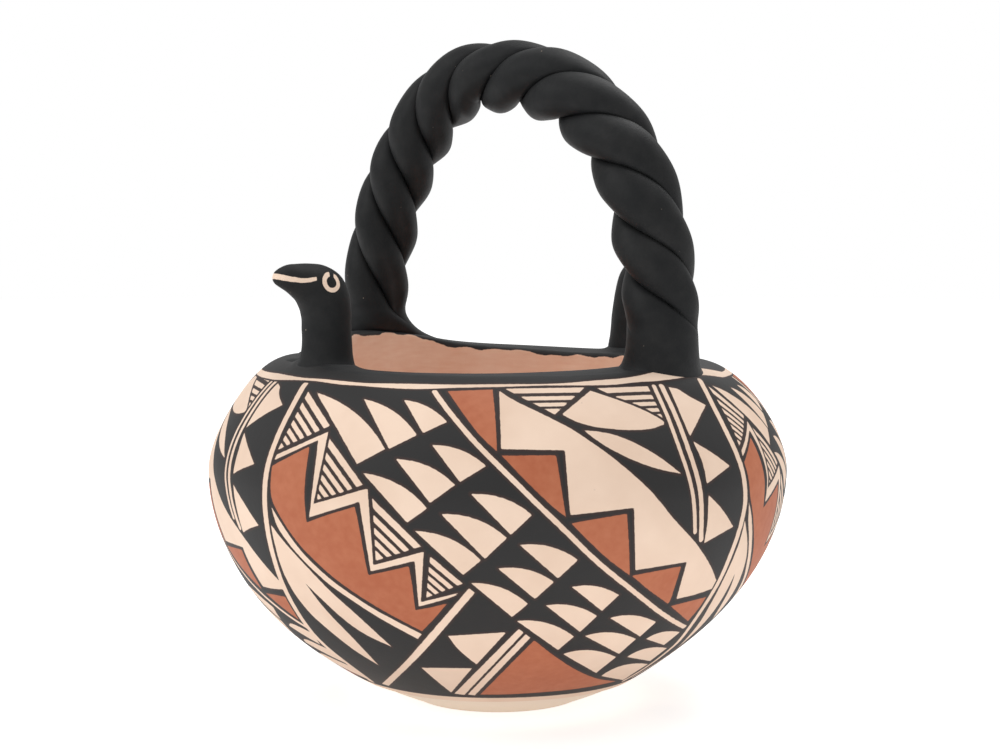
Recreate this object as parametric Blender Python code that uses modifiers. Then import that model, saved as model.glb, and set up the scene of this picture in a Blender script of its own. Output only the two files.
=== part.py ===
"""Pottery effigy basket: a squat painted jar with a twisted three-strand handle, a bird's head and a tail.

Metres, +Z up. The origin is the centre of the base, +X runs along the handle's span to its front foot,
and -Y is the bird's side. The potter forms each piece separately and lutes it on with wet clay, so each
piece is an object of its own, a hair's breadth from the piece that carries it.
"""

import math

import bmesh
import bpy
import numpy as np
from mathutils import Vector
from mathutils.geometry import interpolate_bezier

# Gaps between pieces, and how far hidden ends run on past the face that trims them
LUTING_GAP = 0.0003
OVERRUN = 0.0060

# Jar
BASE_RADIUS = 0.0245
BELLY_RADIUS = 0.0820
BELLY_HEIGHT = 0.0656
SHOULDER_RISE = 0.0303
WALL = 0.0050
FLOOR = 0.0060

# Mouth
MOUTH_RADIUS = 0.0425
SHOULDER_WIDTH = 0.0149
LIP_DROP = 0.0012
LIP_WIDTH = 0.0063
LIP_DEPTH = 0.0078
LIP_EDGE = 0.0018

# Handle
FRONT_LEG_SETBACK = 0.0159
BACK_LEG_SETBACK = 0.0090
ARCH_RISE = 0.0814
APEX_SETBACK = 0.0053
ROPE_RADIUS = 0.0106
GROOVE_RADIUS = 0.0085
STRAND_COUNT = 3
STRAND_HOLLOW = 0.0006
TWIST_PITCH = 0.0497
FOOT_HEIGHT = 0.0150
FOOT_TOE = 0.0120
FOOT_BREADTH = 0.0310

# Bird's neck and head
NECK_SETBACK = 0.0119
NECK_RADIUS = 0.0067
NECK_HEIGHT = 0.0166
NECK_FLARE = 0.0060
NECK_FLARE_HEIGHT = 0.0160
HEAD_RISE = 0.0115
BEAK_REACH = 0.0157

# Tail
TAIL_SETBACK = 0.0119
TAIL_DEPTH = 0.0124
TAIL_BREADTH = 0.0160
TAIL_HEIGHT = 0.0309
TAIL_LEAN = 0.0050
TAIL_FLARE = 0.0050
TAIL_FLARE_HEIGHT = 0.0140

# How far the jar's outline pulls along the tangents at its base, belly and crest
UNDERSIDE_PULL_shares = (0.530, 0.164)
BELLY_PULL_shares = (0.417, 0.373)
CREST_PULL_share = 0.451
LIP_PULL_share = 0.500

# The arch is fuller toward its front foot than toward its back foot
FRONT_FULLNESS = 2.46
BACK_FULLNESS = 2.02
TWIST_START = math.radians(-33)
GROOVE_SHARPNESS = 0.8

# Where the bird and the tail stand round the jar, counted from +X toward +Y
BIRD_ANGLE = math.radians(-106)
TAIL_ANGLE = math.radians(83)

# The head and the tail narrow along their length and end bluntly
HEAD_PULL_shares = (0.72, 0.70)
HEAD_TAPER_share = 0.70
HEAD_TAPER_ONSET = 3.5
HEAD_BLUNTNESS = 12
TIP_share = 0.15
TAIL_TAPER_share = 0.15
TAIL_BLUNTNESS = 8

# Facets
SHARP_ANGLE = math.radians(50)
TURN_STEPS = 56
ARCH_STEPS = 2000
OUTLINE_STEPS = 9
SHOULDER_STEPS = 3
EDGE_STEPS = 3
DOME_SIDES = 9
SIDE_shares = (0.75, 0.50, 0.25)
STRAND_STEPS = 140
FOOT_SIDES = 40
FOOT_LEVELS = 11
NECK_SIDES = 16
NECK_STEPS = 9
HEAD_STEPS = 14
TAIL_STEPS = 17
MERGE_DISTANCE = 0.00001

# Worked out from the sizes above
LIP_OUTER_RADIUS = MOUTH_RADIUS + LIP_WIDTH
CREST_RADIUS = MOUTH_RADIUS + SHOULDER_WIDTH
CREST_HEIGHT = BELLY_HEIGHT + SHOULDER_RISE
LIP_HEIGHT = CREST_HEIGHT - LIP_DROP
FRONT_LEG_X = MOUTH_RADIUS + FRONT_LEG_SETBACK
BACK_LEG_X = -(MOUTH_RADIUS + BACK_LEG_SETBACK)


def add_collection(name):
    """A new collection in the scene."""
    collection = bpy.data.collections.new(name)
    bpy.context.scene.collection.children.link(collection)
    return collection


def add_material(name, colour, roughness):
    """A matt fired-clay material."""
    material = bpy.data.materials.new(name)
    material.use_nodes = True
    shader = material.node_tree.nodes["Principled BSDF"]
    shader.inputs["Base Color"].default_value = (*colour, 1.0)
    shader.inputs["Roughness"].default_value = roughness
    shader.inputs["Metallic"].default_value = 0.0
    return material


def add_object(name, data, collection, material=None):
    """An object that holds the data, in a collection and with its material."""
    piece = bpy.data.objects.new(name, data)
    collection.objects.link(piece)
    if material:
        data.materials.append(material)
    return piece


def smooth(mesh):
    """Shade a mesh smooth except across its sharp edges."""
    mesh.shade_smooth()
    mesh.set_sharp_from_angle(angle=SHARP_ANGLE)


def jar_outline():
    """Radius and height along the jar's outside, from the mouth over the crest and belly to the base."""
    lip = Vector((MOUTH_RADIUS, LIP_HEIGHT))
    crest = Vector((CREST_RADIUS, CREST_HEIGHT))
    belly = Vector((BELLY_RADIUS, BELLY_HEIGHT))
    base = Vector((BASE_RADIUS, 0.0))
    lip_pull = Vector((SHOULDER_WIDTH * LIP_PULL_share, LIP_DROP))
    crest_pull = Vector((SHOULDER_WIDTH * LIP_PULL_share, 0.0))
    shoulder_pull = Vector(((BELLY_RADIUS - CREST_RADIUS) * CREST_PULL_share, 0.0))
    belly_pull = Vector((0.0, SHOULDER_RISE * BELLY_PULL_shares[1]))
    side_pull = Vector((0.0, BELLY_HEIGHT * BELLY_PULL_shares[0]))
    base_pull = Vector(((BELLY_RADIUS - BASE_RADIUS) * UNDERSIDE_PULL_shares[0],
                        BELLY_HEIGHT * UNDERSIDE_PULL_shares[1]))
    stretches = (
        (lip, lip + lip_pull, crest - crest_pull, crest, SHOULDER_STEPS),
        (crest, crest + shoulder_pull, belly + belly_pull, belly, OUTLINE_STEPS),
        (belly, belly - side_pull, base + base_pull, base, OUTLINE_STEPS),
    )
    outline = [lip]
    for start, start_handle, end_handle, end, steps in stretches:
        outline += interpolate_bezier(start, start_handle, end_handle, end, steps + 1)[1:]
    return np.array([(point.x, point.y) for point in outline])


def offset_outline(outline, distance):
    """The outline moved square to itself, out of the clay where the distance is positive."""
    along = np.gradient(outline, axis=0)
    along /= np.linalg.norm(along, axis=1)[:, None]
    outward = np.stack([-along[:, 1], along[:, 0]], axis=1)
    return outline + outward * distance


def height_at(outline, radius):
    """Height of the outline's shoulder at a radius."""
    shoulder = outline[outline[:, 1] >= BELLY_HEIGHT]
    return np.interp(radius, shoulder[:, 0], shoulder[:, 1])


def beyond(outline, radius):
    """The outline without its shoulder's part inside a radius."""
    return outline[(outline[:, 0] > radius) | (outline[:, 1] < BELLY_HEIGHT)]


def turned(name, profile, collection, material=None, closed=False):
    """A solid turned about Z from a profile that runs down its outer side."""
    count = len(profile)
    edges = [(i, i + 1) for i in range(count - 1)]
    if closed:
        edges.append((count - 1, 0))
    mesh = bpy.data.meshes.new(name)
    mesh.from_pydata([(radius, 0.0, height) for radius, height in profile], edges, [])
    piece = add_object(name, mesh, collection, material)
    screw = piece.modifiers.new("turn", "SCREW")
    screw.axis = "Z"
    screw.steps = TURN_STEPS
    screw.render_steps = TURN_STEPS
    screw.use_merge_vertices = True
    screw.merge_threshold = MERGE_DISTANCE
    screw.use_smooth_shade = True
    return piece


def make_vessel(collection, material):
    """The hollow jar, open where the lip's coil sits."""
    outer = jar_outline()
    inner = offset_outline(outer, -WALL)
    seat = LIP_OUTER_RADIUS + LUTING_GAP
    inside = beyond(inner, seat)[::-1]
    profile = [(0.0, FLOOR), *inside[inside[:, 1] > FLOOR]]
    profile.append((seat, height_at(inner, seat)))
    profile.append((seat, height_at(outer, seat)))
    profile += [*beyond(outer, seat), (0.0, 0.0)]
    return turned("vessel_body", profile, collection, material)


def make_lip(collection, material):
    """The thick coil that finishes the mouth, rounded along its inner face."""
    bottom = LIP_HEIGHT - LIP_DEPTH
    outline = jar_outline()
    shoulder = outline[outline[:, 1] > BELLY_HEIGHT]
    on_top = (shoulder[:, 0] > MOUTH_RADIUS + LIP_EDGE) & (shoulder[:, 0] < LIP_OUTER_RADIUS)
    turn = np.linspace(0.0, math.pi / 2, EDGE_STEPS + 1)
    round_in = MOUTH_RADIUS + LIP_EDGE * (1 - np.sin(turn))
    round_out = MOUTH_RADIUS + LIP_EDGE * (1 - np.cos(turn))
    lower_edge = np.stack([round_in, bottom + LIP_EDGE * (1 - np.cos(turn))], axis=1)
    upper_edge = np.stack([round_out, LIP_HEIGHT - LIP_EDGE * (1 - np.sin(turn))], axis=1)
    profile = [(LIP_OUTER_RADIUS, height_at(outline, LIP_OUTER_RADIUS)), (LIP_OUTER_RADIUS, bottom)]
    profile += [*lower_edge, *upper_edge, *shoulder[on_top]]
    return turned("lip_coil", profile, collection, material, closed=True)


def make_seat_cutter(collection):
    """The jar's outside a luting gap larger, closed across the mouth: it trims all that stands on the jar."""
    outline = offset_outline(jar_outline(), LUTING_GAP)
    profile = [(0.0, LIP_HEIGHT + LUTING_GAP), *outline, (0.0, outline[-1][1])]
    cutter = turned("seat_cutter", profile, collection)
    cutter.hide_render = True
    cutter.display_type = "WIRE"
    return cutter


def seat_on_jar(piece, cutter):
    """Trim the root of a piece to the jar's outside."""
    cut = piece.modifiers.new("seat", "BOOLEAN")
    cut.operation = "DIFFERENCE"
    cut.solver = "EXACT"
    cut.object = cutter


class Arch:
    """The handle's centreline: two quarter superellipses that meet at the apex and run on straight below the lip."""

    def __init__(self):
        turn = np.linspace(0.0, math.pi, ARCH_STEPS)
        front = turn <= math.pi / 2
        fullness = np.where(front, FRONT_FULLNESS, BACK_FULLNESS)
        reach = np.where(front, FRONT_LEG_X, BACK_LEG_X) + APEX_SETBACK
        x = reach * np.abs(np.cos(turn)) ** (2 / fullness) - APEX_SETBACK
        z = ARCH_RISE * np.abs(np.sin(turn)) ** (2 / fullness) + LIP_HEIGHT
        root = LIP_HEIGHT - SHOULDER_RISE
        x = np.concatenate([x[:1], x, x[-1:]])
        z = np.concatenate([[root], z, [root]])
        steps = np.hypot(np.diff(x), np.diff(z))
        self.x = x
        self.z = z
        self.distance = np.concatenate([[0.0], np.cumsum(steps)]) - steps[0]
        self.run_x = np.gradient(x, self.distance)
        self.run_z = np.gradient(z, self.distance)
        self.length = self.distance[-2]

    def centre(self, distance):
        """X and Z at distances along the arch, counted from lip height on the front leg."""
        return np.interp(distance, self.distance, self.x), np.interp(distance, self.distance, self.z)

    def outward(self, distance):
        """X and Z of the arch's outer side, square to the centreline."""
        run_x = np.interp(distance, self.distance, self.run_x)
        run_z = np.interp(distance, self.distance, self.run_z)
        run = math.hypot(run_x, run_z)
        return run_z / run, -run_x / run

    def twist(self, distance):
        """How far the strands have turned, from the arch's outer side toward -Y."""
        return TWIST_START + 2 * math.pi * distance / TWIST_PITCH


def rope_radius(turn):
    """Radius of the rope at an angle from a strand's crown: it dips to a groove between each two strands."""
    dome = np.abs(np.cos(turn * STRAND_COUNT / 2)) ** GROOVE_SHARPNESS
    return GROOVE_RADIUS + (ROPE_RADIUS - GROOVE_RADIUS) * dome


def strand_outline():
    """One strand's section beside the rope's centre: a dome outside, and slightly hollow sides to its neighbours."""
    half = math.pi / STRAND_COUNT
    edge = half - math.asin(LUTING_GAP / 2 / GROOVE_RADIUS)
    turn = np.linspace(-edge, edge, DOME_SIDES)
    dome = np.stack([rope_radius(turn) * np.cos(turn), rope_radius(turn) * np.sin(turn)], axis=1)
    share = np.array(SIDE_shares)
    reach = GROOVE_RADIUS * share
    inset = LUTING_GAP / 2 + STRAND_HOLLOW * 4 * share * (1 - share)
    across = reach * math.cos(half) + inset * math.sin(half)
    along = reach * math.sin(half) - inset * math.cos(half)
    upper_side = np.stack([across, along], axis=1)
    lower_side = np.stack([across, -along], axis=1)[::-1]
    root = (LUTING_GAP / 2 / math.sin(half), 0.0)
    return np.concatenate([dome, upper_side, [root], lower_side])


def oval_outline(depth, breadth):
    """An oval about the curve."""
    turn = np.linspace(0.0, 2 * math.pi, NECK_SIDES, endpoint=False)
    return np.stack([depth / 2 * np.cos(turn), breadth / 2 * np.sin(turn)], axis=1)


def section_curve(name, outline, collection):
    """A flat closed outline for a curve's bevel."""
    curve = bpy.data.curves.new(name, "CURVE")
    curve.dimensions = "2D"
    spline = curve.splines.new("POLY")
    spline.points.add(len(outline) - 1)
    for point, (across, along) in zip(spline.points, outline):
        point.co = (across, along, 0.0, 1.0)
    spline.use_cyclic_u = True
    section = add_object(name, curve, collection)
    section.hide_render = True
    section.display_type = "WIRE"
    return section


def rod(name, stations, section, collection):
    """A curve object along stations of (point, radius share, tilt), bevelled by a section and capped."""
    curve = bpy.data.curves.new(name, "CURVE")
    curve.dimensions = "3D"
    curve.twist_mode = "MINIMUM"
    curve.bevel_mode = "OBJECT"
    curve.bevel_object = section
    curve.use_fill_caps = True
    spline = curve.splines.new("POLY")
    spline.points.add(len(stations) - 1)
    for point, (place, share, tilt) in zip(spline.points, stations):
        point.co = (*place, 1.0)
        point.radius = share
        point.tilt = tilt
    return add_object(name, curve, collection)


def as_mesh(piece, material):
    """Replace a curve object by its closed mesh."""
    depsgraph = bpy.context.evaluated_depsgraph_get()
    mesh = bpy.data.meshes.new_from_object(piece.evaluated_get(depsgraph))
    shape = bmesh.new()
    shape.from_mesh(mesh)
    bmesh.ops.remove_doubles(shape, verts=shape.verts, dist=MERGE_DISTANCE)
    bmesh.ops.recalc_face_normals(shape, faces=shape.faces)
    shape.to_mesh(mesh)
    shape.free()
    name = piece.name
    collection = piece.users_collection[0]
    matrix = piece.matrix_world.copy()
    bpy.data.objects.remove(piece)
    solid = add_object(name, mesh, collection, material)
    solid.matrix_world = matrix
    smooth(mesh)
    return solid


def make_strand(name, start_turn, arch, section, collection, material):
    """One strand: its section swept along the arch and turned; a curve's tilt counts the other way round."""
    start = FOOT_HEIGHT + LUTING_GAP
    distances = np.linspace(start, arch.length - start, STRAND_STEPS)
    stations = []
    for distance in distances:
        x, z = arch.centre(distance)
        stations.append(((x, 0.0, z), 1.0, -arch.twist(distance) - start_turn))
    return as_mesh(rod(name, stations, section, collection), material)


def loft(name, rings, collection, material):
    """A closed solid through rings of points, capped by fans."""
    shape = bmesh.new()
    loops = [[shape.verts.new(point) for point in ring] for ring in rings]
    count = len(loops[0])
    for upper, lower in zip(loops, loops[1:]):
        for i in range(count):
            j = (i + 1) % count
            shape.faces.new((upper[i], lower[i], lower[j], upper[j]))
    for ring, loop in ((rings[0], loops[0]), (rings[-1], loops[-1])):
        middle = shape.verts.new(np.mean(ring, axis=0))
        for i in range(count):
            shape.faces.new((loop[i], loop[(i + 1) % count], middle))
    bmesh.ops.recalc_face_normals(shape, faces=shape.faces)
    mesh = bpy.data.meshes.new(name)
    shape.to_mesh(mesh)
    shape.free()
    smooth(mesh)
    return add_object(name, mesh, collection, material)


def make_foot(name, leg_x, distance_at, arch, cutter, collection, material):
    """A handle foot: the rope at its top spreads to an oval pad that ends at the mouth."""
    side = math.copysign(1.0, leg_x)
    pad_inner = MOUTH_RADIUS
    pad_outer = abs(leg_x) + FOOT_TOE
    turn = np.linspace(0.0, 2 * math.pi, FOOT_SIDES, endpoint=False)
    pad_x = side * ((pad_inner + pad_outer) / 2 + (pad_outer - pad_inner) / 2 * np.cos(turn))
    pad_y = -FOOT_BREADTH / 2 * np.sin(turn)
    ground = height_at(jar_outline(), np.hypot(pad_x, pad_y))
    top = LIP_HEIGHT + FOOT_HEIGHT
    rings = []
    for depth in np.linspace(0.0, FOOT_HEIGHT + LIP_HEIGHT - ground.min() + OVERRUN, FOOT_LEVELS):
        distance = distance_at(FOOT_HEIGHT - depth)
        centre_x, centre_z = arch.centre(distance)
        out_x, out_z = arch.outward(distance)
        radius = rope_radius(turn - arch.twist(distance))
        x = centre_x + radius * np.cos(turn) * out_x
        y = -radius * np.sin(turn)
        z = centre_z + radius * np.cos(turn) * out_z
        fall = np.clip((top - centre_z) / (top - ground), 0.0, 1.0)
        spread = 1 - np.sqrt(1 - fall ** 2)
        rings.append(np.stack([x + (pad_x - x) * spread, y + (pad_y - y) * spread, z], axis=1))
    foot = loft(name, rings, collection, material)
    seat_on_jar(foot, cutter)


def flare(height, flare_height):
    """The round of a root: 1 where it meets the jar, 0 where the flare ends above it."""
    rise = np.clip(1 - height / flare_height, 0.0, 1.0)
    return 1 - np.sqrt(1 - rise ** 2)


def make_bird(cutter, hidden, collection, material):
    """Neck and head in one roll of clay, bent over to a blunt beak that points away from the mouth."""
    neck_x = MOUTH_RADIUS + NECK_SETBACK
    spread = NECK_FLARE / NECK_RADIUS
    root = float(height_at(jar_outline(), neck_x + NECK_RADIUS + NECK_FLARE))
    stations = [((neck_x, 0.0, root - OVERRUN), 1 + spread, 0.0)]
    for height in np.linspace(0.0, NECK_HEIGHT, NECK_STEPS, endpoint=False):
        share = 1 + spread * flare(height, NECK_FLARE_HEIGHT)
        stations.append(((neck_x, 0.0, root + height), share, 0.0))
    neck_top = Vector((neck_x, 0.0, root + NECK_HEIGHT))
    beak = neck_top + Vector((BEAK_REACH, 0.0, HEAD_RISE))
    rise = Vector((0.0, 0.0, HEAD_RISE * HEAD_PULL_shares[0]))
    reach = Vector((BEAK_REACH * HEAD_PULL_shares[1], 0.0, 0.0))
    bend = interpolate_bezier(neck_top, neck_top + rise, beak - reach, beak, HEAD_STEPS + 1)
    for i, place in enumerate(bend):
        along = i / HEAD_STEPS
        share = 1 - HEAD_TAPER_share * along ** HEAD_TAPER_ONSET
        share *= math.sqrt(1 - along ** HEAD_BLUNTNESS)
        stations.append((place, max(share, TIP_share), 0.0))
    section = section_curve("neck_section", oval_outline(2 * NECK_RADIUS, 2 * NECK_RADIUS), hidden)
    bird = as_mesh(rod("effigy_head", stations, section, collection), material)
    bird.rotation_euler.z = BIRD_ANGLE
    seat_on_jar(bird, cutter)


def make_tail(cutter, hidden, collection, material):
    """An upright tongue of clay that leans away from the mouth."""
    tail_x = MOUTH_RADIUS + TAIL_SETBACK
    spread = 2 * TAIL_FLARE / TAIL_BREADTH
    root = float(height_at(jar_outline(), tail_x + TAIL_DEPTH / 2 + TAIL_FLARE))
    stations = [((tail_x, 0.0, root - OVERRUN), 1 + spread, 0.0)]
    for along in np.linspace(0.0, 1.0, TAIL_STEPS):
        height = along * TAIL_HEIGHT
        share = (1 - TAIL_TAPER_share * along ** 2) * math.sqrt(1 - along ** TAIL_BLUNTNESS)
        share = max(share, TIP_share) + spread * flare(height, TAIL_FLARE_HEIGHT)
        stations.append(((tail_x + TAIL_LEAN * along ** 2, 0.0, root + height), share, 0.0))
    section = section_curve("tail_section", oval_outline(TAIL_DEPTH, TAIL_BREADTH), hidden)
    tail = as_mesh(rod("effigy_tail", stations, section, collection), material)
    tail.rotation_euler.z = TAIL_ANGLE
    seat_on_jar(tail, cutter)


def main():
    """Clear the scene and form every piece of the basket."""
    for piece in list(bpy.data.objects):
        bpy.data.objects.remove(piece)
    pieces = add_collection("pottery_effigy_basket")
    hidden = add_collection("cutters_and_sections")
    painted = add_material("painted_slip", (0.87, 0.68, 0.52), 0.55)
    charcoal = add_material("charcoal_slip", (0.030, 0.034, 0.034), 0.60)
    make_vessel(pieces, painted)
    make_lip(pieces, charcoal)
    cutter = make_seat_cutter(hidden)
    arch = Arch()
    section = section_curve("strand_section", strand_outline(), hidden)
    for i in range(STRAND_COUNT):
        make_strand(f"handle_strand_{i + 1}", 2 * math.pi * i / STRAND_COUNT, arch, section, pieces, charcoal)
    make_foot("handle_foot_front", FRONT_LEG_X, lambda rise: rise, arch, cutter, pieces, charcoal)
    make_foot("handle_foot_back", BACK_LEG_X, lambda rise: arch.length - rise, arch, cutter, pieces, charcoal)
    make_bird(cutter, hidden, pieces, charcoal)
    make_tail(cutter, hidden, pieces, charcoal)


main()
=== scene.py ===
# %% [markdown]
# # A painted effigy basket of hand-coiled clay
# The real object is one fired body, but the potter forms it from pieces: a squat coiled jar with a flat
# shoulder, a handle of three twisted rolls of clay with spread feet, a bird's neck and head, and a tail.
# The jar wears a cream slip painted in black and orange, and all that stands on it is matt charcoal.
#
# First the imported model is loaded.

# %% Load the imported model
import math

import bmesh
import bpy
import numpy as np
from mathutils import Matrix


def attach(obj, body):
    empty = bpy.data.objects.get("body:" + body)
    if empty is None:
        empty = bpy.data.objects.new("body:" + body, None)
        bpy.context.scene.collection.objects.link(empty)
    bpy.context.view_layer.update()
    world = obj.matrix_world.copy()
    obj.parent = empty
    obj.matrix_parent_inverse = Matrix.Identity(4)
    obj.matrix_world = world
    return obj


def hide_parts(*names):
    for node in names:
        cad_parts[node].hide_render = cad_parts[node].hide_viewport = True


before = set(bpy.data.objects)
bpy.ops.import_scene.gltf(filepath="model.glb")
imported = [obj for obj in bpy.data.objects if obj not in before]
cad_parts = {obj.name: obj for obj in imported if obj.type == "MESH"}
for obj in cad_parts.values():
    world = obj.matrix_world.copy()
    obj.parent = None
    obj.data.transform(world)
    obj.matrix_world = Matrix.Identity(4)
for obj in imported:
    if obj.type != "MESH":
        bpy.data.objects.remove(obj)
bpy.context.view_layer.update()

# %% [markdown]
# The camera comes next, because the painted pattern is measured in the photograph and thrown back onto
# the jar along the camera's own lines of sight. The handle spans X, and the eye stands to the right of
# the bird, a little above the mouth, so it looks down by a few degrees.

# %% Camera
PHOTO_WIDTH = 1000
PHOTO_HEIGHT = 750
SENSOR_MM = 36.0
FOCAL_PX = 1894.1
EYE_DISTANCE = 0.5378
EYE_HEIGHT = 0.1338
EYE_AZIMUTH = math.radians(-48)
EYE_PITCH = math.radians(4.514)
AXIS_COLUMN = 498

aside = math.atan((PHOTO_WIDTH / 2 - AXIS_COLUMN) / FOCAL_PX)
heading = EYE_AZIMUTH + math.pi / 2 - aside
eye = np.array([EYE_DISTANCE * math.cos(EYE_AZIMUTH), EYE_DISTANCE * math.sin(EYE_AZIMUTH), EYE_HEIGHT])
camera_data = bpy.data.cameras.new("photo_camera")
camera_data.sensor_width = SENSOR_MM
camera_data.lens = FOCAL_PX * SENSOR_MM / PHOTO_WIDTH
camera = bpy.data.objects.new("photo_camera", camera_data)
camera.location = eye
camera.rotation_euler = (math.pi / 2 - EYE_PITCH, 0, heading)
bpy.context.scene.collection.objects.link(camera)
bpy.context.scene.camera = camera
print("lens", round(camera_data.lens, 2), "mm")


right = np.array([math.cos(heading), math.sin(heading), 0.0])
ahead = np.array([-math.sin(heading), math.cos(heading), 0.0])
forward = ahead * math.cos(EYE_PITCH) - np.array([0.0, 0.0, math.sin(EYE_PITCH)])
up = np.cross(right, forward)


def sight_lines(pixels):
    """Directions of lines of sight through photo pixels: forward, plus their shares to the right and up."""
    across = (pixels[:, :1] - PHOTO_WIDTH / 2) / FOCAL_PX
    above = (PHOTO_HEIGHT / 2 - pixels[:, 1:]) / FOCAL_PX
    return forward + across * right + above * up


def to_pixels(points):
    """Photo pixels of points: how far they lie to the right and up, over how far they lie forward."""
    away = points - eye
    scale = FOCAL_PX / (away @ forward)
    across, above = (away @ right) * scale, (away @ up) * scale
    return np.stack([PHOTO_WIDTH / 2 + across, PHOTO_HEIGHT / 2 - above], axis=1)


# %% [markdown]
# Most pieces are surfaces: a function of two parameters gives a grid of points, and a helper turns the
# grid into a closed mesh. The helper measures the solid's signed volume and turns the faces round if it
# comes out negative, so every piece faces outwards however its parameters run.

# %% Mesh helpers
def grid_quads(rows, columns, closed):
    """Corner indices of a grid's quads, row by row; a closed grid joins its last column to its first."""
    index = np.arange(rows * columns).reshape(rows, columns)
    ahead = np.roll(index, -1, axis=1)
    if not closed:
        index, ahead = index[:, :-1], ahead[:, :-1]
    return np.stack([index[:-1], index[1:], ahead[1:], ahead[:-1]], axis=-1).reshape(-1, 4)


def fan(ring, middle):
    """Triangles from each edge of a closed ring of indices to a middle point."""
    return np.stack([ring, np.roll(ring, -1), np.full(len(ring), middle)], axis=1)


def make_piece(name, points, faces, nodes, sharp=math.radians(60)):
    """A smooth closed piece from points and arrays of faces; it rides on the root and stands for nodes."""
    mesh = bpy.data.meshes.new(name)
    loops = np.concatenate([np.asarray(group).ravel() for group in faces])
    sizes = np.concatenate([np.full(len(group), np.shape(group)[1]) for group in faces])
    mesh.vertices.add(len(points))
    mesh.vertices.foreach_set("co", np.asarray(points, dtype=np.float32).ravel())
    mesh.loops.add(len(loops))
    mesh.loops.foreach_set("vertex_index", loops.astype(np.int32))
    mesh.polygons.add(len(sizes))
    mesh.polygons.foreach_set("loop_start", (np.cumsum(sizes) - sizes).astype(np.int32))
    mesh.update(calc_edges=True)
    shape = bmesh.new()
    shape.from_mesh(mesh)
    volume = shape.calc_volume(signed=True)
    shape.free()
    if volume < 0:
        mesh.flip_normals()
    mesh.shade_smooth()
    mesh.set_sharp_from_angle(angle=sharp)
    piece = bpy.data.objects.new(name, mesh)
    bpy.context.scene.collection.objects.link(piece)
    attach(piece, "root")
    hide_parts(*nodes)
    print(name, len(sizes), "faces,", round(abs(volume) * 1e6, 1), "ml of clay")
    return piece


def store(piece, name, values):
    """Keep one number for each vertex of a piece, where its material can read it."""
    layer = piece.data.attributes.new(name, "FLOAT", "POINT")
    layer.data.foreach_set("value", np.asarray(values, dtype=np.float32).ravel())


# %% [markdown]
# Clay is either rolled or turned. A roll is a row of rings with a fan of triangles over each end. A turned
# ring, such as the lip, has a section carried round the axis, so its last row meets its first.

# %% Rolls and turned rings
def closed_roll(rings):
    """Points and faces of a solid through rings of points, each end closed by a fan to its middle."""
    rows, columns, _ = rings.shape
    count = rows * columns
    points = np.concatenate([rings.reshape(-1, 3), [rings[0].mean(axis=0)], [rings[-1].mean(axis=0)]])
    first = np.arange(columns)[::-1]
    last = np.arange(count - columns, count)
    return points, [grid_quads(rows, columns, True), fan(first, count), fan(last, count + 1)]


def make_roll(name, rings, node):
    """A solid roll of clay through rings of points."""
    points, faces = closed_roll(rings)
    return make_piece(name, points, faces, [node])


def turned_faces(rows, columns):
    """Faces of a turned ring, whose last row of points is joined to its first."""
    ring = np.arange(columns)
    after = np.roll(ring, -1)
    last = (rows - 1) * columns
    return [grid_quads(rows, columns, True), np.stack([ring, after, last + after, last + ring], axis=1)]


def round_axis(radius, angle, height):
    """Points at radii, angles and heights round the jar's axis."""
    return np.stack([radius * np.cos(angle), radius * np.sin(angle), height], axis=-1)


def ease(share):
    """A ramp from 0 to 1 that leaves and arrives level."""
    return share * share * (3 - 2 * share)


def bell(value, middle, spread):
    """A bell curve, 1 at its middle."""
    return np.exp(-((value - middle) / spread) ** 2)


def turned_from(angle, middle):
    """The angle counted from a middle, between minus and plus half a turn."""
    return (angle - middle + math.pi) % (2 * math.pi) - math.pi


# %% [markdown]
# A jar coiled by hand is round, but its shoulder and belly are one flowing outline. It is three
# stretches of Bezier curve, as in the part's source: lip to crest, crest to belly, belly to base. The
# outline is kept as a fine table of radius and height against the distance run along the clay, so that
# every band of paint can be placed by how far down the wall it lies.

# %% The jar's outline
BASE_RADIUS = 0.0245
BELLY_RADIUS = 0.0820
BELLY_HEIGHT = 0.0656
CREST_RADIUS = 0.0574
CREST_HEIGHT = 0.0959
MOUTH_RADIUS = 0.0425
LIP_HEIGHT = 0.0947
WALL = 0.0050
FLOOR = 0.0060
CREST_PULL = 0.0111
BELLY_PULL_UP = 0.0113
BELLY_PULL_DOWN = 0.0273
BASE_PULL = (0.0305, 0.0108)
LIP_PULL = 0.0075
OUTLINE_SAMPLES = 1500


def bezier(start, start_pull, end_pull, end, count=OUTLINE_SAMPLES):
    """A cubic Bezier curve from start to end that leaves and arrives along its pulls."""
    t = np.linspace(0, 1, count, endpoint=False)[:, None]
    a, d = np.array(start), np.array(end)
    b, c = a + np.array(start_pull), d + np.array(end_pull)
    return (1 - t) ** 3 * a + 3 * (1 - t) ** 2 * t * b + 3 * (1 - t) * t ** 2 * c + t ** 3 * d


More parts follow.
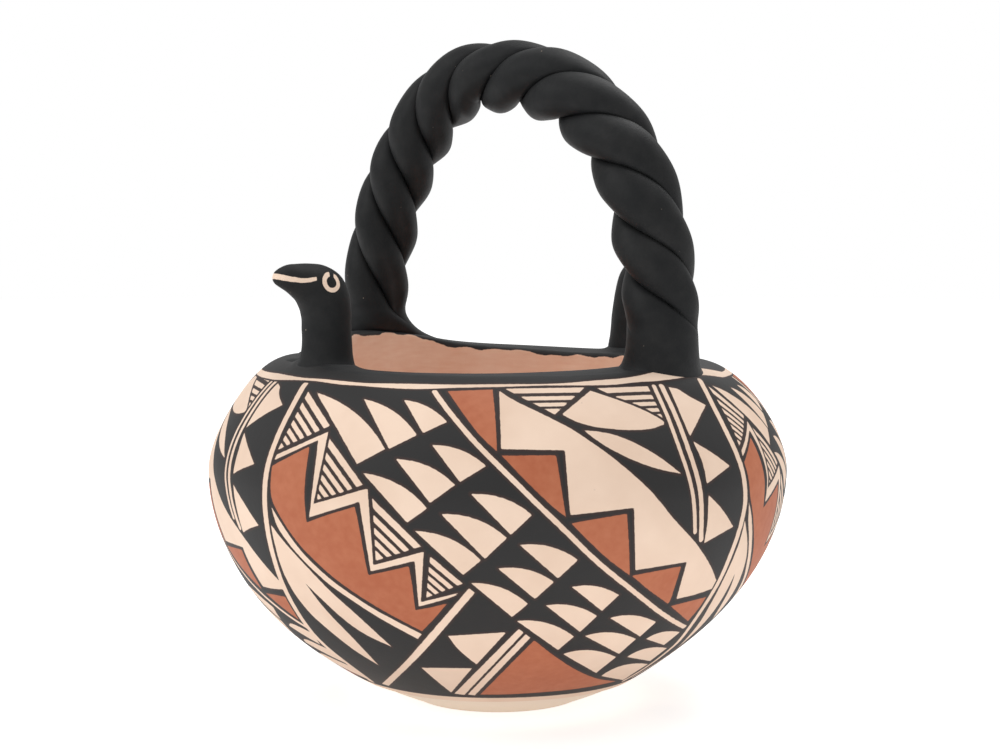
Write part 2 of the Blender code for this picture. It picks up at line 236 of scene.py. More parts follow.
outline = np.concatenate([
    bezier((MOUTH_RADIUS, LIP_HEIGHT), (LIP_PULL, CREST_HEIGHT - LIP_HEIGHT), (-LIP_PULL, 0),
           (CREST_RADIUS, CREST_HEIGHT)),
    bezier((CREST_RADIUS, CREST_HEIGHT), (CREST_PULL, 0), (0, BELLY_PULL_UP), (BELLY_RADIUS, BELLY_HEIGHT)),
    bezier((BELLY_RADIUS, BELLY_HEIGHT), (0, -BELLY_PULL_DOWN), BASE_PULL, (BASE_RADIUS, 0)),
    [(BASE_RADIUS, 0)],
])
steps = np.linalg.norm(np.diff(outline, axis=0), axis=1)
outline_run = np.concatenate([[0], np.cumsum(steps)])
outline_slope = np.gradient(outline, outline_run, axis=0)
CREST_RUN = float(outline_run[OUTLINE_SAMPLES])
BELLY_RUN = float(outline_run[2 * OUTLINE_SAMPLES])
BASE_RUN = float(outline_run[-1])
print("run from lip to crest, belly and base", np.round([CREST_RUN, BELLY_RUN, BASE_RUN], 4))


def along_outline(run):
    """Radius and height of the outline, and its outward direction, at runs from the lip."""
    radius = np.interp(run, outline_run, outline[:, 0])
    height = np.interp(run, outline_run, outline[:, 1])
    out_radius = -np.interp(run, outline_run, outline_slope[:, 1])
    out_height = np.interp(run, outline_run, outline_slope[:, 0])
    return radius, height, out_radius, out_height


def run_at_radius(radius):
    """The run on the upper wall where the outline has a radius."""
    upper = outline_run < BELLY_RUN
    return np.interp(radius, outline[upper, 0], outline_run[upper])


def low_run_at_radius(radius):
    """The run on the lower wall where the outline has a radius."""
    lower = outline_run > BELLY_RUN
    return float(np.interp(-radius, -outline[lower, 0], outline_run[lower]))


def under_outline(run, depth):
    """Radius and height of points a depth inside the even outline."""
    radius, height, out_radius, out_height = along_outline(run)
    return np.stack([radius - depth * out_radius, height - depth * out_height], axis=1)


# %% [markdown]
# No hand-built jar is perfectly even. The clay swells outside the front foot, at the left shoulder, low
# on the left and round the base, and the wall has a slow unevenness of a quarter millimetre. These are
# bell curves and sines over the angle and the run. They are smooth, so they could also be sculpted, but a
# sum of bells is easy to aim at one place, and it leaves the belly within its measured width.

# %% The hand-built unevenness
SWELLS = [  # how far it stands out, azimuth and spread in degrees, run and reach
    (0.0022, 0, 14, run_at_radius(0.0655), 0.0080),
    (0.0017, 225, 38, run_at_radius(0.0610), 0.0140),
    (0.0012, 238, 34, BELLY_RUN + 0.0460, 0.0260),
]
BASE_SWELL = 0.0005
BASE_SWELL_RUN = BASE_RUN - 0.0120
BASE_SWELL_REACH = 0.0120
UNEVENNESS = 0.00022


def wall_swell(angle, run):
    """How far the clay stands out of the even outline, square to it."""
    swell = 0.0
    for height, azimuth, spread, place, reach in SWELLS:
        around = bell(turned_from(angle, math.radians(azimuth)), 0, math.radians(spread))
        swell = swell + height * (around * bell(run, place, reach))
    swell = swell + BASE_SWELL * bell(run, BASE_SWELL_RUN, BASE_SWELL_REACH)
    waves = np.sin(3 * angle + 40 * run) + np.sin(5 * angle - 90 * run + 1) + np.sin(2 * angle + 2)
    return swell + UNEVENNESS * (waves / 3 - 1)


# %% [markdown]
# The rim isn't level either: it climbs by 8 millimetres to the back foot, where it is one thick collar
# of clay, and wet clay was smoothed into a small fillet under the head and the tail. The heights of the
# rim were read along its edge in the photo, and are smoothed so that no step is left between them.

# %% The rim and the clay smoothed into the joins
BIRD_ANGLE = math.radians(-106)
TAIL_ANGLE = math.radians(83)
LUTED = [  # azimuth, reach from the axis, half depth, half width, and the fillet's height and reach
    (BIRD_ANGLE, 0.0551, 0.0080, 0.0092, 0.0008, 0.0014),
    (TAIL_ANGLE, 0.0545, 0.0064, 0.0084, 0.0012, 0.0010),
]
RIM_RISE = [  # degrees round the mouth, rise in millimetres
    (-113, -0.1), (-76, -0.1), (-52, 0.1), (-29, 0.8), (0, 1.2), (30, 1.4), (67, 1.5), (85, 1.0),
    (102, 0.9), (123, 1.8), (137, 2.3), (150, 3.4), (158, 4.8), (166, 6.1), (175, 7.2), (190, 8.1),
    (205, 8.2), (215, 7.4), (227, 4.2), (238, 1.2), (247, -0.1),
]
RIM_REACH = 12  # degrees


def rim_rise(angle):
    """How far the rim stands above its even height: a running mean of the list, weighted by a bell."""
    degrees, rise = np.array(RIM_RISE).T
    fine = np.arange(-180, 180)
    smooth = np.interp(fine, degrees, rise, period=360)
    share = bell(np.arange(-RIM_REACH, RIM_REACH + 1), 0, RIM_REACH / 2)
    smooth = np.convolve(np.tile(smooth, 3), share / share.sum(), "same")[360:720]
    return np.interp(np.degrees(angle), fine, smooth, period=360) / 1000


def luted(x, y):
    """How far the shoulder rises to meet the neck and the tail: it falls off exponentially."""
    rise = 0.0
    for azimuth, reach, half_depth, half_width, height, fillet in LUTED:
        out = x * math.cos(azimuth) + y * math.sin(azimuth) - reach
        aside = y * math.cos(azimuth) - x * math.sin(azimuth)
        away = (np.hypot(out / half_depth, aside / half_width) - 1) * half_depth
        rise = rise + height * np.exp(-np.maximum(away, 0) / fillet)
    return rise


def on_skin(angle, run, depth=0.0):
    """Points of the jar's outside at angles and runs, or a depth inside it.

    The rim's rise fades to nothing at the crest, and the wet clay lies on the upper wall only.
    """
    radius, height, out_radius, out_height = along_outline(run)
    stand = wall_swell(angle, run) - depth
    above_belly = np.asarray(run) < BELLY_RUN
    fade = np.clip((CREST_RADIUS - radius) / (CREST_RADIUS - MOUTH_RADIUS), 0, 1) * above_belly
    rise = rim_rise(angle) * fade * (2 - fade)
    points = round_axis(radius + stand * out_radius, angle, height + stand * out_height + rise)
    points[..., 2] += luted(points[..., 0], points[..., 1]) * above_belly
    return points


def skin_height(x, y):
    """Height of the uneven shoulder over a point."""
    angle = np.arctan2(y, x)
    return on_skin(angle, run_at_radius(np.hypot(x, y)))[..., 2]


print("rim height at the back foot", round(float(skin_height(-MOUTH_RADIUS, 0.0)), 4))

# %% [markdown]
# ## The painting
# The potter paints the whole wall freehand with a brush of chewed yucca leaf: feather rows, stepped
# zigzags and triangles filled with lines, in panels between tall cream lines. An image would be one way
# to carry it, but paint is a flat area with a clean edge, so here each area is an outline, and the
# mesh keeps, for each vertex, how deep it lies inside the nearest bare-slip area and inside the nearest
# orange area. The material then cuts those depths at zero, which gives an edge far finer than the grid.
#
# The corners of the front panel were read in the photograph. Each is thrown along its line of sight
# onto the jar, which gives an angle and a run, and the other three panels repeat it, wider or narrower,
# as the parts that show at the two sides do.

# %% From photo pixels to the jar
SIGHT_SAMPLES = 2400
AIM_PASSES = 6
AIM_SHARE = 0.8


def first_touch(lines):
    """Angle and run where lines of sight first come inside the even outline, or pass nearest to it."""
    reach = np.linspace(EYE_DISTANCE - 1.1 * BELLY_RADIUS, EYE_DISTANCE + BELLY_RADIUS / 2, SIGHT_SAMPLES)
    steps = (reach / np.linalg.norm(lines[:, :2], axis=1)[:, None])[:, :, None]
    places = eye + lines[:, None, :] * steps
    below_crest = outline_run >= CREST_RUN
    wall_height = outline[below_crest, 1][::-1]
    wall_radius = outline[below_crest, 0][::-1]
    wall_run = outline_run[below_crest][::-1]
    from_axis = np.hypot(places[..., 0], places[..., 1])
    clearance = from_axis - np.interp(places[..., 2], wall_height, wall_radius)
    inside = clearance < 0
    first = np.where(inside.any(axis=1), inside.argmax(axis=1), clearance.argmin(axis=1))
    place = places[np.arange(len(lines)), first]
    return np.arctan2(place[:, 1], place[:, 0]), np.interp(place[:, 2], wall_height, wall_run)


def throw_on_jar(pixels):
    """Angle and run of the clay seen at photo pixels.

    The aim moves by a share of the miss, until the point of the uneven jar lands on the pixel.
    """
    wanted = np.asarray(pixels, dtype=float)
    aim = wanted
    for _ in range(AIM_PASSES):
        angle, run = first_touch(sight_lines(aim))
        aim = aim + AIM_SHARE * (wanted - to_pixels(on_skin(angle, run)))
    return np.stack([angle, run], axis=1)


# %% [markdown]
# The corners are few, and a brush doesn't turn in corners unless it is lifted. So shallow bends are
# rounded by cutting them twice, and only the sharp ones stay. Every edge is then shared out in four, so
# that a line that is straight in the photo bends round the jar.

# %% Brush lines from corners
SHALLOW_BEND = math.radians(38)
CORNER_SHARE = 0.25


def eased(pixels, closed=True, passes=2):
    """Corner cutting: a shallow bend becomes two points a quarter along its edges, a sharp one stays."""
    points = np.asarray(pixels, dtype=float)
    for _ in range(passes):
        before = np.roll(points, 1, axis=0)
        after = np.roll(points, -1, axis=0)
        come, go = points - before, after - points
        bend = np.arctan2(come[:, 0] * go[:, 1] - come[:, 1] * go[:, 0], (come * go).sum(axis=1))
        shallow = np.abs(bend) < SHALLOW_BEND
        if not closed:
            shallow[[0, -1]] = False
        share = np.where(shallow, CORNER_SHARE, 0.0)[:, None]
        points = np.stack([points + (before - points) * share, points + (after - points) * share], axis=1)
        points = points.reshape(-1, 2)
    return points


def split(points, closed=True, parts=4):
    """Points shared out along every edge, so that a straight brush line bends round the jar."""
    after = np.roll(points, -1, axis=0) if closed else points[1:]
    start = points if closed else points[:-1]
    share = (np.arange(parts) / parts)[None, :, None]
    spread = (start[:, None] + (after - start)[:, None] * share).reshape(-1, 2)
    return spread if closed else np.concatenate([spread, points[-1:]])


def throw_line(pixels):
    """A brush line's middle, from photo pixels to angles and runs."""
    return throw_on_jar(split(eased(pixels, False), False))


# %% [markdown]
# The panel itself. Bare areas show the cream slip, orange areas are filled with mineral paint, and
# everything else is black, so a black line is simply the gap left between two areas. Cream lines of even
# width are strokes, given by their middle and their width.

# %% Bare slip: the tall lines, the zigzag, the long leaves
LEFT_LINE = [(305, 384.5), (302.8, 387), (294, 403), (279, 432), (267.3, 464), (264.2, 490), (265.3, 516),
             (270.7, 549), (283.2, 588), (304.5, 624.5), (326.2, 648), (371, 681)]
RIGHT_LINE = [(700.6, 381.1), (706.2, 391.7), (713.2, 405.7), (720.3, 419.7), (727.3, 433.7), (735.7, 451),
              (743.3, 472), (745.8, 493), (744.9, 508.4), (739.8, 529.5), (733.2, 548.6), (720.8, 579),
              (707, 602), (692.6, 623.3), (680, 640.5), (667.8, 651.2), (652.8, 662.8), (637.8, 672.8),
              (625, 680)]
TALL_LINE_WIDTH = 0.0020
BAND_LINE = [(434.5, 391.5), (446, 408), (460, 425), (474, 441.5), (494.5, 462), (519.5, 486.5), (536, 503),
             (553, 519), (570.5, 536), (589.5, 555), (606, 569.5), (623, 583), (639.5, 596), (656, 609.5),
             (673, 621), (684.5, 627)]
BAND_LINE_WIDTH = 0.0013
ZIGZAG = [(277, 454.5), (328.3, 431.7), (313.2, 504), (367.5, 488.5), (373.2, 565.3), (423.7, 551.7),
          (420.8, 602.3), (459.2, 592.8), (452.8, 597.5), (418.7, 606.5), (414.8, 560.8), (370.7, 571.5),
          (359.2, 501.8), (309.2, 517.3), (318.3, 439.8), (274.2, 460.2)]
SWEEP = [(271.2, 506.5), (284.5, 528.7), (298.2, 547.8), (309.5, 560.3), (330, 579.5), (352, 595),
         (373.7, 609.2), (397.8, 622), (421.7, 634.2), (417.8, 639), (392.8, 625.7), (371.2, 613.2),
         (347.8, 597.5), (327.8, 583.7), (311.2, 568.2), (296.2, 552.8), (284.5, 538), (276, 525)]
LEAVES = [(270.8, 524.5), (282, 539.5), (292.8, 552), (306.2, 566.2), (318.7, 579.5), (332.8, 593.7),
          (354.5, 612.8), (374.5, 631.2), (391.2, 646.5), (371.2, 637.8), (354.5, 627.8), (337.8, 614.5),
          (321.2, 598.7), (305.3, 583.2), (320.3, 603.7), (334.5, 619.5), (349.5, 634.5), (364.5, 650.3),
          (378.7, 665.3), (357.8, 652.8), (341.2, 640.3), (326.2, 627.8), (312.8, 616.2), (301.2, 602.8),
          (292, 589.5), (284.5, 575.3), (279.2, 561.2), (275.3, 546.2), (272.5, 534.5)]
SLANT = [(474.8, 592.8), (427.8, 647.8), (407.8, 667.8), (388.7, 685.8), (382, 683.7), (401.2, 666.2),
         (422, 642.8), (469.2, 588.2)]
LOW_TRIANGLES = [
    [(448.2, 636), (506.2, 632.3), (476.5, 664.5), (457.8, 649.5)],
    [(421.7, 667.8), (472, 668.3), (451.2, 692.5), (437.8, 682)],
]
LOW_STRIPS = [
    [(518.7, 629), (523.7, 632.5), (464.5, 694.8), (454.5, 693.7)],
    [(525.8, 634.2), (530.3, 637.8), (474.8, 695.3), (467.8, 694.5)],
]
SWOOP = [(499.2, 390.8), (512, 399.5), (531.2, 408.7), (555.3, 420.3), (572.8, 429.5), (586.2, 438.7),
         (609.5, 454.5), (641.2, 481.2), (658.7, 499.5), (671.2, 516.2), (692.8, 539.5), (697, 544.5),
         (706.2, 557.8), (712.8, 570.3), (716.2, 580.3), (712, 588.7), (696.2, 594.5), (676.5, 599),
         (686.8, 562), (635.5, 570.3), (634.8, 539.5), (634.2, 507.8), (570.3, 515.3), (564.8, 450.3),
         (501.2, 449)]
UPPER_PETAL = [(590.3, 390.7), (562, 414.5), (576.2, 422), (594.5, 427), (616.2, 429.5), (636.2, 430.3),
               (652.8, 428.7), (663.7, 424.5), (664, 422), (661.2, 419.5), (649.5, 412.8), (632.8, 405.3),
               (614.5, 398.7)]
LOWER_PETAL = [(583.7, 430.3), (596.2, 431.2), (611.2, 433.7), (627.8, 439.5), (644.5, 447.8),
               (661.2, 457.8), (681.2, 473.7), (662.8, 470.3), (646.2, 465.3), (629.5, 458.7),
               (612.8, 450.3), (597.8, 441.2)]
RIGHT_STRIPS = [
    ([(654, 386.2), (667.8, 416.2), (679.8, 449.5), (688.7, 474.5), (694.2, 499.5), (695.2, 532)], 0.0012),
    ([(661.7, 386.2), (676.2, 416.2), (688.7, 449.5), (697, 474.5), (702, 499.5), (701.2, 539.5)], 0.0015),
]
SIDE_TEETH = [
    [(668.8, 387.2), (678.2, 388.9), (683.1, 392.4), (690.8, 397.3), (705.8, 405), (699.2, 418.3),
     (690.1, 436.5), (683.1, 420.4), (675.4, 402.2)],
    [(693.2, 441.4), (712.7, 452.9), (729.9, 465.9), (707, 483.9), (703.2, 462.5)],
    [(708.5, 495), (722.3, 508.4), (733.2, 526.6), (704.1, 543.3), (707.9, 521.8)],
]

# %% [markdown]
# A row of feathers is three curved triangles, and there are seven rows down the band. Each feather is
# given by its point, its right and its bottom corner. Its upper edge is a shallow curve: it leaves the
# chord by a share of the chord's length. The hatched triangles are cut into cream stripes along their
# first edge, and the stripes get narrower toward the far corner, as the brush does.

# %% Bare slip: feathers and hatching
FEATHERS = [
    [(317, 392.5), (385, 449), (357, 464)], [(364, 399), (417, 435), (389, 449)],
    [(404, 400), (447, 422), (423, 433)], [(363, 473), (427, 508.5), (407, 522.6)],
    [(396, 459), (455, 485), (430, 503)], [(432, 445), (486, 466), (460, 482)],
    [(415, 531), (481, 560.5), (463, 575)], [(441, 514), (507, 538), (485, 559)],
    [(471, 494), (532, 515), (511, 535)], [(471, 583), (528, 604), (512, 617)],
    [(498, 568.5), (554, 582), (535, 599)], [(520, 545), (578, 560), (558, 578.5)],
    [(517, 621), (574, 636.5), (558, 650)], [(546, 605.5), (597, 616), (580, 632)],
    [(572, 587), (619, 595), (602, 611)], [(563, 654), (616, 657), (596, 673)],
    [(585, 636), (636, 639), (619, 654)], [(610, 618), (656, 622), (640, 636.5)],
    [(601, 676), (648, 664), (623, 680)], [(627, 657), (667, 648), (650, 661)],
    [(646, 639), (680, 632), (664, 645)],
]
FEATHER_BULGE = 0.20
HATCHED = [
    ([(308.2, 391.5), (329.8, 425.8), (277.8, 449.8)], 7),
    ([(329.2, 437.8), (362.8, 484.8), (315.8, 502.5)], 6),
    ([(372.3, 498.7), (421.2, 546.5), (375.8, 560.7)], 5),
    ([(430, 556.2), (462.8, 583.7), (426.2, 597.8)], 5),
    ([(504.8, 388.7), (584.8, 387.5), (554.8, 414.5)], 4),
    ([(597, 388.2), (647.8, 386.2), (663.7, 419.8)], 5),
]
STRIPE_NARROWING = 0.85
HATCH_LINE_SHARE = 0.40


def feather(corners):
    """A curved triangle: a quadratic curve from the point to the right corner, then straight edges."""
    point, right, bottom = np.array(corners, dtype=float)
    chord = right - point
    control = (point + right) / 2 + FEATHER_BULGE * np.array([chord[1], -chord[0]])
    t = np.linspace(0, 1, 9)[:, None]
    curve = (1 - t) ** 2 * point + 2 * t * (1 - t) * control + t ** 2 * right
    return np.concatenate([curve, [bottom]])


def stripes(corners, count):
    """Cream stripes of a hatched triangle, side by side from its first edge to its last corner.

    The edges between stripes lie at powers of their share of the way.
    """
    first, second, last = np.array(corners, dtype=float)
    starts = (np.arange(count) / count) ** STRIPE_NARROWING
    ends = ((np.arange(count) + 1) / count) ** STRIPE_NARROWING
    ends[:-1] -= HATCH_LINE_SHARE * (ends - starts)[:-1]
    return [np.array([first + (last - first) * a, second + (last - second) * a,
                      second + (last - second) * b, first + (last - first) * b])
            for a, b in zip(starts, ends)]


bare_areas = [eased(area) for area in (ZIGZAG, SWEEP, LEAVES, SLANT, SWOOP, UPPER_PETAL, LOWER_PETAL)]
bare_areas += [eased(area) for area in LOW_TRIANGLES + LOW_STRIPS + SIDE_TEETH]
bare_areas += [feather(corners) for corners in FEATHERS]
hatching = [stripe for corners, count in HATCHED for stripe in stripes(corners, count)]
print(len(bare_areas), "bare areas and", len(hatching), "stripes in a panel")

# %% [markdown]
# The orange is a mineral paint laid in behind the zigzags, the steps and the swoop. Its areas are drawn
# a little large, because paint areas are cut back later by the width of the black line round them.

# %% Orange areas
ORANGE = [
    [(309.5, 446.2), (305.3, 474.5), (304, 500), (306.5, 522.5), (328.5, 514.5), (354.5, 506.2),
     (358.7, 524.5), (363.5, 552.8), (368.3, 575.2), (387.8, 571.2), (408.7, 566.2), (412.3, 585),
     (415.3, 610.3), (431, 607.5), (447.2, 603.5), (435, 618), (422, 631.2), (397.8, 618.7), (373.7, 605.3),
     (352, 591.2), (330.3, 575.3), (311.2, 557), (302, 547.8), (289.5, 532), (277.8, 512.8), (271.2, 498.7),
     (270.3, 484), (271.8, 467.5), (273, 465)],
    [(447.8, 391.2), (492.5, 389.5), (495.5, 418), (497, 451.5), (482, 438), (469.5, 422.8)],
    [(502, 455.7), (556.2, 455.3), (561, 486), (565.8, 516.7), (552.8, 507), (536.2, 491.2), (519.5, 474.5)],
    [(571.2, 523.3), (627, 513.7), (629, 544), (629.8, 575.3), (619.5, 567.8), (606.2, 557.8), (587, 539.5)],
    [(632, 575.8), (681.2, 566.2), (670.3, 601.2), (667.8, 603.7), (647.8, 589.5)],
    [(670.8, 606.2), (706.2, 597), (698, 609.5), (687.8, 621.2), (679.5, 613.7)],
    [(534.2, 640.3), (547.8, 651.2), (562.8, 662), (577.8, 671.2), (597.8, 679.5), (616.2, 681.2),
     (597.8, 685.3), (572.8, 689.5), (539.5, 692.5), (506.2, 694.5), (480.3, 694.5)],
]
orange_areas = [eased(area) for area in ORANGE]
print(len(orange_areas), "orange areas in a panel")

# %% [markdown]
# How deep a vertex lies inside an area is the distance to the area's nearest edge, positive inside and
# negative outside. Angles are turned into lengths by the jar's radius at each row of the grid, so the
# distances are true lengths on the clay. Each area only touches the part of the grid round it.

# %% Depths inside an area
FAR_FROM_PAINT = -0.0030
NO_LENGTH = 1e-12


def edge_distance(x, y, start, end):
    """Distance from points to the nearest of the straight edges between start and end corners."""
    along_x, along_y = end[0] - start[0], end[1] - start[1]
    square = np.maximum(along_x ** 2 + along_y ** 2, NO_LENGTH)
    share = np.clip(((x - start[0]) * along_x + (y - start[1]) * along_y) / square, 0, 1)
    off_x, off_y = x - start[0] - share * along_x, y - start[1] - share * along_y
    return np.sqrt((off_x ** 2 + off_y ** 2).min(axis=-1))


def crossings(x, y, start, end):
    """Whether points lie inside a closed outline, by how often a line to the right of them crosses it."""
    spans = (start[1] > y) != (end[1] > y)
    rise = np.where(end[1] == start[1], 1.0, end[1] - start[1])
    reach = start[0] + (y - start[1]) * (end[0] - start[0]) / rise
    return (spans & (x < reach)).sum(axis=-1) % 2 == 1


def lay_on(layer, angles, runs, corners, width=None):
    """Raise a layer of depths by one area, or by a stroke of a width along its middle line."""
    middle = corners[:, 0].mean()
    angle = middle + turned_from(angles, middle)
    near_run = (runs > corners[:, 1].min() + FAR_FROM_PAINT) & (runs < corners[:, 1].max() - FAR_FROM_PAINT)
    margin = -FAR_FROM_PAINT / BASE_RADIUS / 2
    near_angle = (angle > corners[:, 0].min() - margin) & (angle < corners[:, 0].max() + margin)
    if not near_run.any() or not near_angle.any():
        return
    radius = along_outline(runs[near_run])[0][:, None, None]
    x = angle[near_angle][None, :, None] * radius
    y = runs[near_run][:, None, None]
    after = np.roll(corners, -1, axis=0) if width is None else corners[1:]
    before = corners if width is None else corners[:-1]
    start = (before[:, 0] * radius, before[:, 1] + 0 * radius)
    end = (after[:, 0] * radius, after[:, 1] + 0 * radius)
    away = edge_distance(x, y, start, end)
    depth = np.where(crossings(x, y, start, end), away, -away) if width is None else width / 2 - away
    window = np.ix_(near_run, near_angle)
    layer[window] = np.maximum(layer[window], depth)


# %% [markdown]
# Four panels go round the jar. They aren't equally wide, because a potter who paints by eye fits the last
# one to what is left. The panel at the left of the photo also bows: its areas lean toward the tall line
# above and below the belly, so they are turned by a share that grows with the distance from that line.

# %% The four panels
PANELS = [(-96.0, 99.0), (3.0, 72.0), (75.0, 87.0), (162.0, 102.0)]  # start and width in degrees
FRONT_START, FRONT_WIDTH = (math.radians(value) for value in PANELS[0])
RIGHT_START, LEFT_START = PANELS[1][0], PANELS[3][0]
LEAST_BLACK_LINE = 0.0008
BOW_HEIGHT = 0.0800
BOW_SHARPNESS = 50.0
BOW_REACH = math.radians(13)
LEAST_BOW = math.radians(0.3)
MOST_BOW = math.radians(2.5)


def in_panel(corners, start, width):
    """The front panel's corners moved and stretched to another panel; the left panel's also bow."""
    share = (corners[:, 0] - FRONT_START) / FRONT_WIDTH
    angle = math.radians(start) + share * math.radians(width)
    if start == LEFT_START:
        height = along_outline(corners[:, 1])[1]
        bow = LEAST_BOW - np.minimum(BOW_SHARPNESS * (height - BOW_HEIGHT) ** 2, MOST_BOW)
        from_line = math.radians(start + width) - angle
        angle = angle - bow * np.clip(from_line / BOW_REACH, 0, 1)
    return np.stack([angle, corners[:, 1]], axis=1)


thrown_bare = [throw_on_jar(split(area)) for area in bare_areas]
thrown_hatching = [throw_on_jar(split(area)) for area in hatching]
thrown_orange = [throw_on_jar(split(area)) for area in orange_areas]
thrown_left, thrown_right = throw_line(LEFT_LINE), throw_line(RIGHT_LINE)
strokes = [(throw_line(line), width) for line, width in [(BAND_LINE, BAND_LINE_WIDTH), *RIGHT_STRIPS]]
print("front panel spans", np.round(np.degrees(thrown_left[:, 0].mean()), 1),
      "to", np.round(np.degrees(thrown_right[:, 0].mean()), 1), "degrees")


def paint_wall(angles, runs):
    """Depths inside bare slip and inside orange paint, for every run and angle of a grid."""
    bare = np.full((len(runs), len(angles)), FAR_FROM_PAINT)
    orange, hatched = bare.copy(), bare.copy()
    for start, width in PANELS:
        for layer, areas in ((bare, thrown_bare), (hatched, thrown_hatching), (orange, thrown_orange)):
            for corners in areas:
                lay_on(layer, angles, runs, in_panel(corners, start, width))
        for line, line_width in strokes:
            lay_on(bare, angles, runs, in_panel(line, start, width), line_width)
        tall = thrown_right if start == RIGHT_START else thrown_left
        turn = 0.0 if start == RIGHT_START else math.radians(start) - FRONT_START
        lay_on(bare, angles, runs, tall + np.array([turn, 0.0]), TALL_LINE_WIDTH)
    bare = np.maximum(bare, np.minimum(hatched, -bare - LEAST_BLACK_LINE))
    return bare, np.minimum(orange, -bare - LEAST_BLACK_LINE)


# %% [markdown]
# A cream line rings the wall where it turns into the shoulder, with a thin black line under it, and a
# thin dark line rings the foot. The cream line is brushed freehand, so its two edges are read in the
# photo, like the panel, and run on evenly round the back.

# %% Bands round the wall
RIM_RADIUS = 0.0605
RIM_RUN = float(run_at_radius(RIM_RADIUS))
WALL_END_RUN = low_run_at_radius(0.0400)
FOOT_LINE_RUN = low_run_at_radius(0.0432)
FOOT_LINE_WIDTH = 0.0009
CREAM_RING_RUN = float(run_at_radius(0.0646))
CREAM_RING_WIDTH = 0.0014
RING_LINE_WIDTH = 0.0007
CREAM_RING_TOP = [(262, 370.6), (272, 373), (291, 375.5), (306.3, 377.5), (321.6, 378.7), (336.9, 380.6),
                  (354.8, 382.3), (373.9, 383.6), (418.6, 384.5), (484, 384.2), (560, 383.6), (585.5, 381.8),
                  (621.2, 378.6), (631.4, 377), (641.6, 375.2), (651.8, 372.6), (662, 371), (674.8, 369.1),
                  (687.6, 368.1), (700.3, 368.2), (710.5, 369.7), (722, 371.9)]
CREAM_RING_FOOT = [(262, 377), (267.4, 378.1), (275.7, 379.7), (291, 380.6), (316.5, 381.2), (329.3, 382.9),
                   (340.8, 384.5), (358.6, 385.6), (377.8, 387), (418.6, 388.7), (440, 388.5), (484, 387.4),
                   (560, 385.4), (611, 384.5), (621.2, 383.8), (636.5, 382), (654.4, 381.1), (668.4, 379.5),
                   (681.2, 377.8), (693.9, 376.2), (706.7, 375.5), (715.6, 376.1), (722, 377)]
EVEN_AFTER = math.radians(30)


def brushed_edge(pixels, even_run):
    """The run of a brushed edge at any angle: as in the photo where it is seen, and even round the back."""
    thrown = throw_line(pixels)
    thrown = thrown[np.argsort(thrown[:, 0])]
    first, last = thrown[0], thrown[-1]
    angles = np.concatenate([[first[0] - 2 * EVEN_AFTER, first[0] - EVEN_AFTER], thrown[:, 0],
                             [last[0] + EVEN_AFTER, last[0] + 2 * EVEN_AFTER]])
    runs = np.concatenate([[even_run, first[1]], thrown[:, 1], [last[1], even_run]])
    return lambda angle: np.interp(EYE_AZIMUTH + turned_from(angle, EYE_AZIMUTH), angles, runs)


ring_top = brushed_edge(CREAM_RING_TOP, CREAM_RING_RUN - CREAM_RING_WIDTH / 2)
ring_foot = brushed_edge(CREAM_RING_FOOT, CREAM_RING_RUN + CREAM_RING_WIDTH / 2)


def cream_ring(angles, runs):
    """Depth inside the cream line round the shoulder."""
    waver = 0.00015 * np.sin(7 * angles + 1) + 0.0001 * np.sin(17 * angles)
    return np.minimum(runs[:, None] - ring_top(angles) - waver, ring_foot(angles) - runs[:, None] - waver)


def band_wall(bare, orange, angles, runs):
    """The depths of bare slip and orange paint, with the rings of shoulder and foot laid over them."""
    under_ring = runs[:, None] - ring_foot(angles) - RING_LINE_WIDTH
    bare = np.maximum(np.minimum(bare, under_ring), cream_ring(angles, runs))
    above_line = FOOT_LINE_RUN - FOOT_LINE_WIDTH / 2 - runs[:, None]
    below_line = runs[:, None] - (FOOT_LINE_RUN + FOOT_LINE_WIDTH / 2)
    bare = np.maximum(np.minimum(bare, above_line), below_line)
    return bare, np.minimum(np.minimum(orange, under_ring), above_line)


# %% [markdown]
# The painted wall is laid as four quarter shells. Each has a fine outer face with a vertex every 0.4 mm,
# which is what carries the brush lines, and a coarse inner face that nobody sees. The side faces are
# flat, because each lies in one plane through the jar's axis. One closed shell would be simpler, but with
# four each piece stays under two hundred thousand triangles.

# %% The painted wall
QUARTER_START = math.radians(5)
SKIN_DEPTH = 0.0022
VERTEX_SPACING = 0.0004
INNER_STEP = 12

row_count = int(round((WALL_END_RUN - RIM_RUN) / VERTEX_SPACING / INNER_STEP)) * INNER_STEP + 1
column_count = int(round(BELLY_RADIUS * math.pi / 2 / VERTEX_SPACING)) + 1
wall_runs = np.linspace(RIM_RUN, WALL_END_RUN, row_count)
print("a quarter of the wall has", row_count, "rows and", column_count, "columns")


